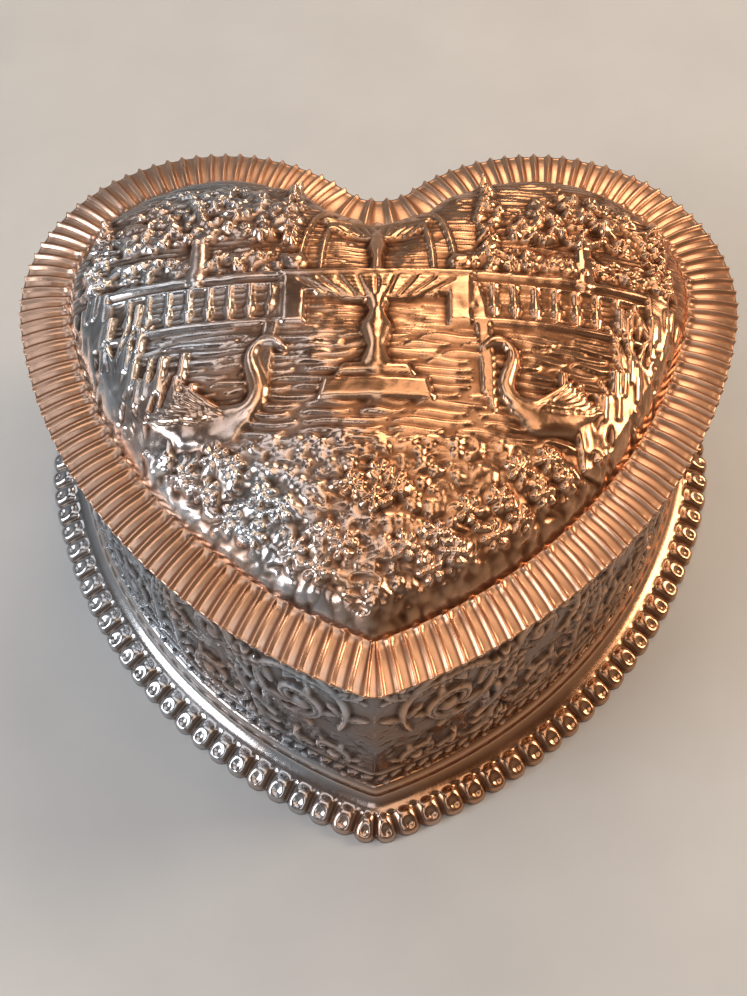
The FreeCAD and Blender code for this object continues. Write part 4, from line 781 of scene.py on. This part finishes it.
def dome_normals(x, y):
    """Outward directions of the plain dome, kept from lying flat at its steep foot."""
    def rise(dx, dy):
        return dome_level(dome_share(x + dx, y + dy))

    step = 0.05
    slope_x = (rise(step, 0) - rise(-step, 0)) / (2 * step)
    slope_y = (rise(0, step) - rise(0, -step)) / (2 * step)
    steep = np.maximum(1, np.hypot(slope_x, slope_y) / DOME_STEEPEST)
    normal = np.stack([-slope_x / steep, -slope_y / steep, np.ones_like(x)], axis=1)
    return normal / np.linalg.norm(normal, axis=1)[:, None]


def dome_faces(count):
    """Faces of the dome's outside, and its edge as a loop of point numbers."""
    pitch = DOME_ROWS + 1
    i, j = np.meshgrid(np.arange(DOME_COLUMNS - 2), np.arange(DOME_ROWS), indexing="ij")
    corner = i * pitch + j
    quads = np.stack([corner, corner + pitch, corner + pitch + 1, corner + 1], axis=-1).reshape(-1, 4)
    left, right = count - 2, count - 1
    last = (DOME_COLUMNS - 2) * pitch
    fans = [[left, row, row + 1] for row in range(DOME_ROWS)]
    fans += [[right, last + row + 1, last + row] for row in range(DOME_ROWS)]
    columns = np.arange(DOME_COLUMNS - 1) * pitch
    loop = [left, *columns, right, *(columns[::-1] + DOME_ROWS)]
    return quads.tolist() + fans, loop


def dome_inside(edge, loop, start):
    """Points and faces of the dome's smooth inside, from its edge to its peak."""
    rings = []
    for size in DOME_RINGS:
        rise = max(dome_level(size) - DOME_SHEET, -DOME_SKIRT)
        rings.append(level(shrunk(edge, size), RIM_TOP + rise))
    count = len(loop)
    peak = start + len(rings) * count
    final = peak - count
    skirt = [[loop[k], start + k, start + (k + 1) % count, loop[(k + 1) % count]] for k in range(count)]
    shell = (ring_faces(len(rings), count, False)[:, ::-1] + start).tolist()
    cap = [[peak, final + (k + 1) % count, final + k] for k in range(count)]
    top = [[0, DOME_CENTRE, RIM_TOP + DOME_HEIGHT - DOME_SHEET]]
    return np.concatenate([*rings, top]), skirt + shell + cap


def lid_dome():
    """Embossed dome with a smooth inside."""
    x, y = dome_places()
    share = dome_share(x, y)
    relief = lid_relief()
    raised = relief.read(x, y) * np.clip((1 - share) / 0.07, 0, 1)
    valley = -1.2 * np.exp(-(x / 2.2) ** 2) * np.clip((y + 2) / 16, 0, 1) ** 1.5
    places = np.stack([x, y], axis=1)
    outside = level(places, RIM_TOP + dome_level(share)) + dome_normals(x, y) * (raised + valley)[:, None]
    outside[:, 2] = np.minimum(outside[:, 2], LID_HIGH.z - 0.02)
    faces, loop = dome_faces(len(x))
    inside, inside_faces = dome_inside(places[loop], loop, len(x))
    points = np.concatenate([outside, inside])
    piece = new_piece("embossed_dome", points, faces + inside_faces, "lid", "silver_plate")
    depth = relief.depths(1.0, 0.4).read(x, y)
    shade(piece, "depth", np.concatenate([depth, np.zeros(len(inside))]))
    return piece


def foot_beads(where, phase):
    """Sections of the foot's gadrooned edge, from the cove out to the rim, with their depths."""
    lobe = np.sin(math.pi * phase)
    sections, depths = [], []
    for share in np.linspace(0.06, 1, 14):
        offset = BEAD_START + (FLANGE_REACH - BEAD_START) * share
        bead = np.sqrt(np.clip(1 - ((share - 0.48) / 0.52) ** 2, 0, 1))
        rise = 0.85 * bead * lobe ** 0.6
        dimple = 0.7 * np.exp(-(((share - 0.68) / 0.2) ** 2)) * np.exp(-(((phase - 0.5) / 0.2) ** 2))
        z = 2.55 - 1.35 * share ** 1.3 + rise - dimple - 0.5 * bead * (1 - lobe) ** 2
        drawn = BEAD_CLEFT * (1 - lobe) ** 1.5 * np.clip((share - 0.5) / 0.5, 0, 1)
        points, out = around(offset, where)
        sections.append(level(points - out * drawn[:, None], np.maximum(z, 0.12)))
        depths.append(np.clip(0.9 * (1 - lobe) ** 2 + 0.45 * dimple - 0.2 * lobe, -1, 1))
    rim, out = around(FLANGE_REACH, where)
    rim = rim - out * (BEAD_CLEFT * (1 - lobe) ** 1.5)[:, None]
    sections.append(level(rim, 0.0))
    depths.append(np.zeros(len(phase)))
    return sections, depths


def foot():
    """Flared foot with a collar, a cove with painted shade, and a gadrooned edge."""
    steps = 14
    count = SCALLOPS * steps
    where, _ = stations(FLANGE_REACH, TIP_RADIUS + FLANGE_REACH, count)
    phase = (np.arange(count) % steps) / steps
    top = FOOT_HIGH.z
    sections, depths = [], []
    for offset, drop in FOOT_PROFILE:
        sections.append(level(around(offset, where)[0], top - drop))
        # Painted shade: the two sections of the cove under the collar get a darker tone.
        depths.append(np.full(count, 0.5 if 1.6 < drop < 2.3 else 0.0))
    bead_sections, bead_depths = foot_beads(where, phase)
    sections += bead_sections
    depths += bead_depths
    for offset, z in ((FLANGE_REACH - 1.4, 0.0), (3.0, 1.6), (0.2, top - 2.6), (-WALL_THICK, top)):
        sections.append(level(around(offset, where)[0], z))
        depths.append(np.zeros(count))
    piece = profile_ring("gadrooned_foot", sections, "case", "silver_plate", "foot_flange")
    shade(piece, "depth", np.concatenate(depths))
    return piece


# Velvet


def pad_face(name, edge, thick):
    """Sections and heights of a pad's soft face, from its rolled edge to its middle."""
    rng = np.random.default_rng(SEED + len(name))
    waves = [(rng.uniform(0.08, 0.2), rng.uniform(0.08, 0.2), rng.uniform(0, 6)) for _ in range(9)]
    for share in np.sin(np.linspace(1, 0, 34)[:-1] * math.pi / 2):
        points = shrunk(edge, share)
        roll = math.sqrt(1 - np.clip((share - 0.94) / 0.06, 0, 1) ** 2)
        dent = sum(np.sin(a * points[:, 0] + b * points[:, 1] + c) for a, b, c in waves) / len(waves)
        yield points, thick * (0.35 + 0.5 * roll) + 0.12 * thick * dent * min(1, (1 - share) * 6)


def pad(name, node, offset, facing):
    """Points, faces and ring size of a heart-shaped velvet pad, flat where it is glued down."""
    low, high = (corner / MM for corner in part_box(node))
    count = 480
    where, _ = stations(offset, PAD_TIP_RADIUS, count)
    edge, _ = outline(offset, PAD_TIP_RADIUS, where)
    back = low.z if facing > 0 else high.z
    sections = [level(shrunk(edge, share), back) for share in (0.99, 0.5)]
    for points, rise in pad_face(name, edge, high.z - low.z):
        sections.append(level(points, back + facing * rise))
    faces = ring_faces(len(sections), count, False)
    return np.concatenate(sections), (faces if facing > 0 else faces[:, ::-1]).tolist(), count


def velvet_pad(name, node, offset, body, facing):
    """Pad that faces up (1) or down (-1), closed at both ends."""
    points, faces, count = pad(name, node, offset, facing)
    last = len(points) - count
    ends = [list(range(count))[::-1], list(range(last, last + count))]
    if facing < 0:
        ends = [end[::-1] for end in ends]
    piece = new_piece(name, points, faces + ends, body, "velvet", node)
    return piece


def side_velvet():
    """Velvet strip on the wall, rolled over at its top."""
    low, high = (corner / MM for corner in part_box("side_lining"))
    where, _ = stations(0, TIP_RADIUS, 600)
    shoulder = high.z - STRIP_ROLL
    back, _ = around(-WALL_THICK, where)
    sections = [level(back, low.z), level(back, shoulder)]
    for turn in np.linspace(0, math.pi / 2, 5):
        inward = STRIP_THICK * math.sin(turn) * 0.9 + 0.05
        points, _ = around(-WALL_THICK - inward, where)
        sections.append(level(points, shoulder + STRIP_ROLL * math.cos(turn)))
    for share in np.linspace(0.9, 0, 8):
        points, _ = around(-WALL_THICK - STRIP_THICK + 0.1 * share, where)
        sections.append(level(points, low.z + (shoulder - low.z) * share))
    piece = profile_ring("wall_velvet", sections[::-1], "case", "velvet", "side_lining")
    return piece


# Materials


def new_material(name):
    material = bpy.data.materials.new(name)
    material.use_nodes = True
    nodes, links = material.node_tree.nodes, material.node_tree.links
    return material, nodes, links, nodes["Principled BSDF"]


def noise(nodes, links, scale, detail, stretch=(1, 1, 1)):
    """Noise in object space, in waves per metre."""
    place = nodes.new("ShaderNodeTexCoord")
    turn = nodes.new("ShaderNodeMapping")
    turn.inputs["Scale"].default_value = stretch
    texture = nodes.new("ShaderNodeTexNoise")
    texture.inputs["Scale"].default_value = scale
    texture.inputs["Detail"].default_value = detail
    links.new(place.outputs["Object"], turn.inputs["Vector"])
    links.new(turn.outputs["Vector"], texture.inputs["Vector"])
    return texture.outputs["Fac"]


def ramp(nodes, links, value, stops):
    """Colours or greys along a value."""
    node = nodes.new("ShaderNodeValToRGB")
    while len(node.color_ramp.elements) < len(stops):
        node.color_ramp.elements.new(0.5)
    for element, (place, colour) in zip(node.color_ramp.elements, stops):
        element.position = place
        element.color = (*colour, 1)
    links.new(value, node.inputs["Fac"])
    return node.outputs["Color"]


def mix(nodes, links, share, first, second, blend="MIX"):
    node = nodes.new("ShaderNodeMix")
    node.data_type = "RGBA"
    node.blend_type = blend
    if isinstance(share, float):
        node.inputs["Factor"].default_value = share
    else:
        links.new(share, node.inputs["Factor"])
    links.new(first, node.inputs[6])
    links.new(second, node.inputs[7])
    return node.outputs[2]


def bump(nodes, links, shader, value, strength, distance):
    node = nodes.new("ShaderNodeBump")
    node.inputs["Strength"].default_value = strength
    node.inputs["Distance"].default_value = distance
    links.new(value, node.inputs["Height"])
    links.new(node.outputs["Normal"], shader.inputs["Normal"])


def grey(value):
    return (value, value, value)


def scaled(nodes, links, value, factor, offset):
    """A value times a factor, plus a number or another value."""
    node = nodes.new("ShaderNodeMath")
    node.operation = "MULTIPLY_ADD"
    links.new(value, node.inputs[0])
    node.inputs[1].default_value = factor
    if isinstance(offset, float):
        node.inputs[2].default_value = offset
    else:
        links.new(offset, node.inputs[2])
    return node.outputs[0]


def across(nodes, links):
    """Uneven change of tone from the left of the box to its right and back: painted light, cool on the left
    and warm on the right and back.
    """
    place = nodes.new("ShaderNodeTexCoord")
    split = nodes.new("ShaderNodeSeparateXYZ")
    links.new(place.outputs["Object"], split.inputs["Vector"])
    back = scaled(nodes, links, split.outputs["Y"], PAINTED_LIGHT_BACK, noise(nodes, links, 55, 4))
    return scaled(nodes, links, split.outputs["X"], PAINTED_LIGHT_SIDE, back)


def silver(name, cool_lit_tone, warm_lit_tone, polish_and_shade, rough):
    """Plated metal with painted light: its tone runs from cool on the left of the box to warm on its right
    and back. Polished on its crests, dark with patina in its hollows, and darkened as painted shade where the
    depth attribute or a low polish marks it.
    """
    material, nodes, links, shader = new_material(name)
    shader.inputs["Metallic"].default_value = 1.0
    # Painted light: a cool tone on the left of the box and a warm tone to its right and back.
    side_lit_tone = ramp(nodes, links, across(nodes, links), [(0.18, cool_lit_tone), (0.52, warm_lit_tone)])
    depth = nodes.new("ShaderNodeAttribute")
    depth.attribute_name = "depth"
    # The depth attribute holds patina in real hollows, and painted shade beside the rim's ridges and in the
    # foot's cove.
    hollow_and_shade = scaled(nodes, links, depth.outputs["Fac"], 0.5, 0.5)
    # A low polish darkens the plain sheet and slopes; on the wall it is painted shade.
    slope = tuple(polish_and_shade * tone for tone in (0.56, 0.47, 0.41))
    pit = tuple(polish_and_shade * tone for tone in (0.14, 0.1, 0.08))
    wear_and_shade = ramp(nodes, links, hollow_and_shade, [(0.0, grey(1.0)), (0.5, grey(polish_and_shade)), (0.68, slope), (1.0, pit)])
    links.new(mix(nodes, links, 1.0, side_lit_tone, wear_and_shade, "MULTIPLY"), shader.inputs["Base Color"])
    smooth = ramp(nodes, links, noise(nodes, links, 160, 3), [(0.3, grey(rough)), (0.75, grey(rough + 0.12))])
    dull = ramp(nodes, links, hollow_and_shade, [(0.5, grey(0.0)), (1.0, grey(0.3))])
    links.new(mix(nodes, links, 1.0, smooth, dull, "ADD"), shader.inputs["Roughness"])
    bump(nodes, links, shader, noise(nodes, links, 900, 3), 0.12, 0.0002)
    return material


def brushed(name, light, dark, rough, stretch):
    """Metal with fine grinding lines along one axis."""
    material, nodes, links, shader = new_material(name)
    shader.inputs["Metallic"].default_value = 1.0
    grain = noise(nodes, links, 300, 4, stretch)
    gloss = ramp(nodes, links, grain, [(0.3, grey(rough + 0.12)), (0.7, grey(rough))])
    links.new(ramp(nodes, links, grain, [(0.3, dark), (0.7, light)]), shader.inputs["Base Color"])
    links.new(gloss, shader.inputs["Roughness"])
    bump(nodes, links, shader, grain, 0.15, 0.0001)
    return material


def cast(name):
    """Sand-blasted casting."""
    material, nodes, links, shader = new_material(name)
    shader.inputs["Metallic"].default_value = 0.9
    grain = noise(nodes, links, 2600, 5)
    links.new(ramp(nodes, links, grain, [(0.3, grey(0.22)), (0.7, grey(0.42))]), shader.inputs["Base Color"])
    links.new(ramp(nodes, links, grain, [(0.3, grey(0.62)), (0.7, grey(0.48))]), shader.inputs["Roughness"])
    bump(nodes, links, shader, grain, 0.4, 0.0002)
    return material


def velvet(name):
    """Short deep red pile with a soft sheen."""
    material, nodes, links, shader = new_material(name)
    pile = noise(nodes, links, 2200, 5)
    brush = noise(nodes, links, 60, 3)
    tone = ramp(nodes, links, pile, [(0.3, (0.10, 0.004, 0.012)), (0.7, (0.26, 0.014, 0.03))])
    shadow = ramp(nodes, links, brush, [(0.35, grey(0.62)), (0.7, grey(1.0))])
    links.new(mix(nodes, links, 1.0, tone, shadow, "MULTIPLY"), shader.inputs["Base Color"])
    shader.inputs["Roughness"].default_value = 0.95
    shader.inputs["Sheen Weight"].default_value = 0.8
    shader.inputs["Sheen Roughness"].default_value = 0.35
    shader.inputs["Sheen Tint"].default_value = (0.9, 0.28, 0.3, 1)
    bump(nodes, links, shader, pile, 0.5, 0.0003)
    return material


def card(name):
    """Grey-brown board with loose fibres."""
    material, nodes, links, shader = new_material(name)
    fibre = noise(nodes, links, 700, 6, (1, 3, 1))
    tone = ramp(nodes, links, fibre, [(0.3, (0.27, 0.2, 0.13)), (0.7, (0.42, 0.33, 0.23))])
    links.new(tone, shader.inputs["Base Color"])
    shader.inputs["Roughness"].default_value = 0.9
    bump(nodes, links, shader, fibre, 0.3, 0.0002)
    return material


def paint(piece, material):
    piece.data.materials.clear()
    piece.data.materials.append(material)


def dress():
    """Make the pieces and give every piece and node its material."""
    # Plate with wear on its crests and hollows, and painted cool light on the left and warm light on the
    # right.
    plate = silver("silver_plate_worn_and_side_lit", (0.80, 0.76, 0.75), (0.84, 0.46, 0.27), 0.64, 0.16)
    copper = silver("copper_toned_plate", (0.80, 0.51, 0.37), (0.80, 0.45, 0.28), 0.8, 0.26)
    # A darker copy of the plate for the wall: painted shade in place of the dark surroundings its metal would
    # reflect.
    dark = silver("wall_plate_painted_shade", (0.72, 0.77, 0.84), (0.72, 0.42, 0.26), 0.3, 0.1)
    red = velvet("red_velvet")
    for piece in (lid_dome(), foot()):
        paint(piece, plate)
    paint(lid_rim(), copper)
    paint(body_wall(), dark)
    pads = [
        velvet_pad("tray_velvet", "tray_lining", -WALL_THICK - TRAY_PAD_GAP, "case", 1),
        velvet_pad("lid_velvet", "lid_lining", DOME_OFFSET - LID_PAD_GAP, "lid", -1),
        side_velvet(),
    ]
    for piece in pads:
        paint(piece, red)
    finishes = {
        "silver_plate": plate,
        "velvet": red,
        "card": card("tray_board"),
        "brass": brushed("satin_brass", (0.78, 0.56, 0.25), (0.60, 0.40, 0.16), 0.28, (1, 8, 1)),
        "cast_bed": cast("cast_bed_plate"),
        "steel": brushed("ground_steel", (0.62, 0.62, 0.62), (0.42, 0.42, 0.43), 0.24, (8, 1, 1)),
        "fly_metal": brushed("satin_aluminium", (0.78, 0.78, 0.79), (0.6, 0.6, 0.62), 0.3, (1, 1, 8)),
    }
    slots = {subpart["node"]: subpart["material_slot"] for subpart in frame["record"]["subparts"]}
    for node, obj in frame["nodes"].items():
        paint(obj, finishes[slots[node]])


# Stage


def studio():
    """Even studio walls: light near the floor, dim overhead, a little cooler on the left."""
    world = bpy.data.worlds.new("studio")
    world.use_nodes = True
    nodes, links = world.node_tree.nodes, world.node_tree.links
    place = nodes.new("ShaderNodeTexCoord")
    split = nodes.new("ShaderNodeSeparateXYZ")
    links.new(place.outputs["Generated"], split.inputs["Vector"])
    walls = [(0.0, grey(0.60)), (0.4, grey(0.40)), (0.72, (0.17, 0.12, 0.095))]
    height = ramp(nodes, links, split.outputs["Z"], walls)
    shift = scaled(nodes, links, split.outputs["X"], 0.5, 0.5)
    side = ramp(nodes, links, shift, [(0.15, (0.84, 0.93, 1.0)), (0.85, (1.0, 0.82, 0.66))])
    backdrop = nodes["Background"]
    links.new(mix(nodes, links, 1.0, height, side, "MULTIPLY"), backdrop.inputs["Color"])
    backdrop.inputs["Strength"].default_value = WORLD_STRENGTH
    bpy.context.scene.world = world


def floor():
    """Plain pale floor."""
    mesh = bpy.data.meshes.new("floor")
    size = FLOOR_HALF
    corners = [(-size, -size, 0), (size, -size, 0), (size, size, 0), (-size, size, 0)]
    mesh.from_pydata(corners, [], [(0, 1, 2, 3)])
    sheet = bpy.data.objects.new("floor", mesh)
    bpy.context.scene.collection.objects.link(sheet)
    material, nodes, links, shader = new_material("pale_floor")
    tone = ramp(nodes, links, noise(nodes, links, 40, 4), [(0.3, grey(0.58)), (0.7, grey(0.62))])
    links.new(tone, shader.inputs["Base Color"])
    shader.inputs["Roughness"].default_value = 0.6
    paint(sheet, material)


def lamps():
    """Three soft lamps and a ring of dim panels overhead."""
    lamp("cool_side", (-0.60, -0.22, 0.34), 0.30, 2.4, COOL)
    lamp("warm_side", (0.62, 0.16, 0.40), 0.26, 2.2, WARM)
    lamp("back_top", (0.12, 0.62, 0.62), 0.30, 1.5, WARM)
    for number in range(PANELS):
        turn = math.radians(360 / PANELS * number + 15)
        rise = math.radians(46 + 17 * (number % 3))
        flat = math.cos(rise)
        place = Vector((math.cos(turn) * flat, math.sin(turn) * flat, math.sin(rise))) * PANEL_DISTANCE
        lamp(f"panel_{number}", place, 0.24, 0.30, COOL if place.x < -0.05 else WARM)


def stage():
    """Floor, studio walls and lamps."""
    floor()
    studio()
    lamps()


def lamp(name, place, size, power, colour):
    """Soft square lamp that faces the box."""
    light = bpy.data.lights.new(name, "AREA")
    light.size = size
    light.energy = power
    light.color = colour
    obj = bpy.data.objects.new(name, light)
    obj.location = place
    aim = Vector(LAMP_AIM) - Vector(place)
    obj.rotation_euler = aim.to_track_quat("-Z", "Y").to_euler()
    bpy.context.scene.collection.objects.link(obj)


def camera():
    """Camera at the photograph's angle, fitted to the box's outline."""
    yaw, rise, roll = (math.radians(angle) for angle in (CAMERA_YAW, CAMERA_RISE, CAMERA_ROLL))
    right = Vector((math.cos(yaw), math.sin(yaw), 0))
    back = Vector((math.sin(yaw) * math.cos(rise), -math.cos(yaw) * math.cos(rise), math.sin(rise)))
    up = back.cross(right)
    turned_right = right * math.cos(roll) + up * math.sin(roll)
    turned_up = up * math.cos(roll) - right * math.sin(roll)
    lens = bpy.data.cameras.new("photo_view")
    lens.sensor_width = 36.0
    lens.lens = CAMERA_LENS
    lens.clip_start = 0.01
    obj = bpy.data.objects.new("photo_view", lens)
    bpy.context.scene.collection.objects.link(obj)
    axes = Matrix((turned_right, turned_up, back)).transposed().to_4x4()
    obj.matrix_world = Matrix.Translation(Vector(CAMERA_PLACE) * MM) @ axes
    bpy.context.scene.camera = obj


dress()
stage()
camera()
bpy.context.scene.view_settings.view_transform = "Standard"
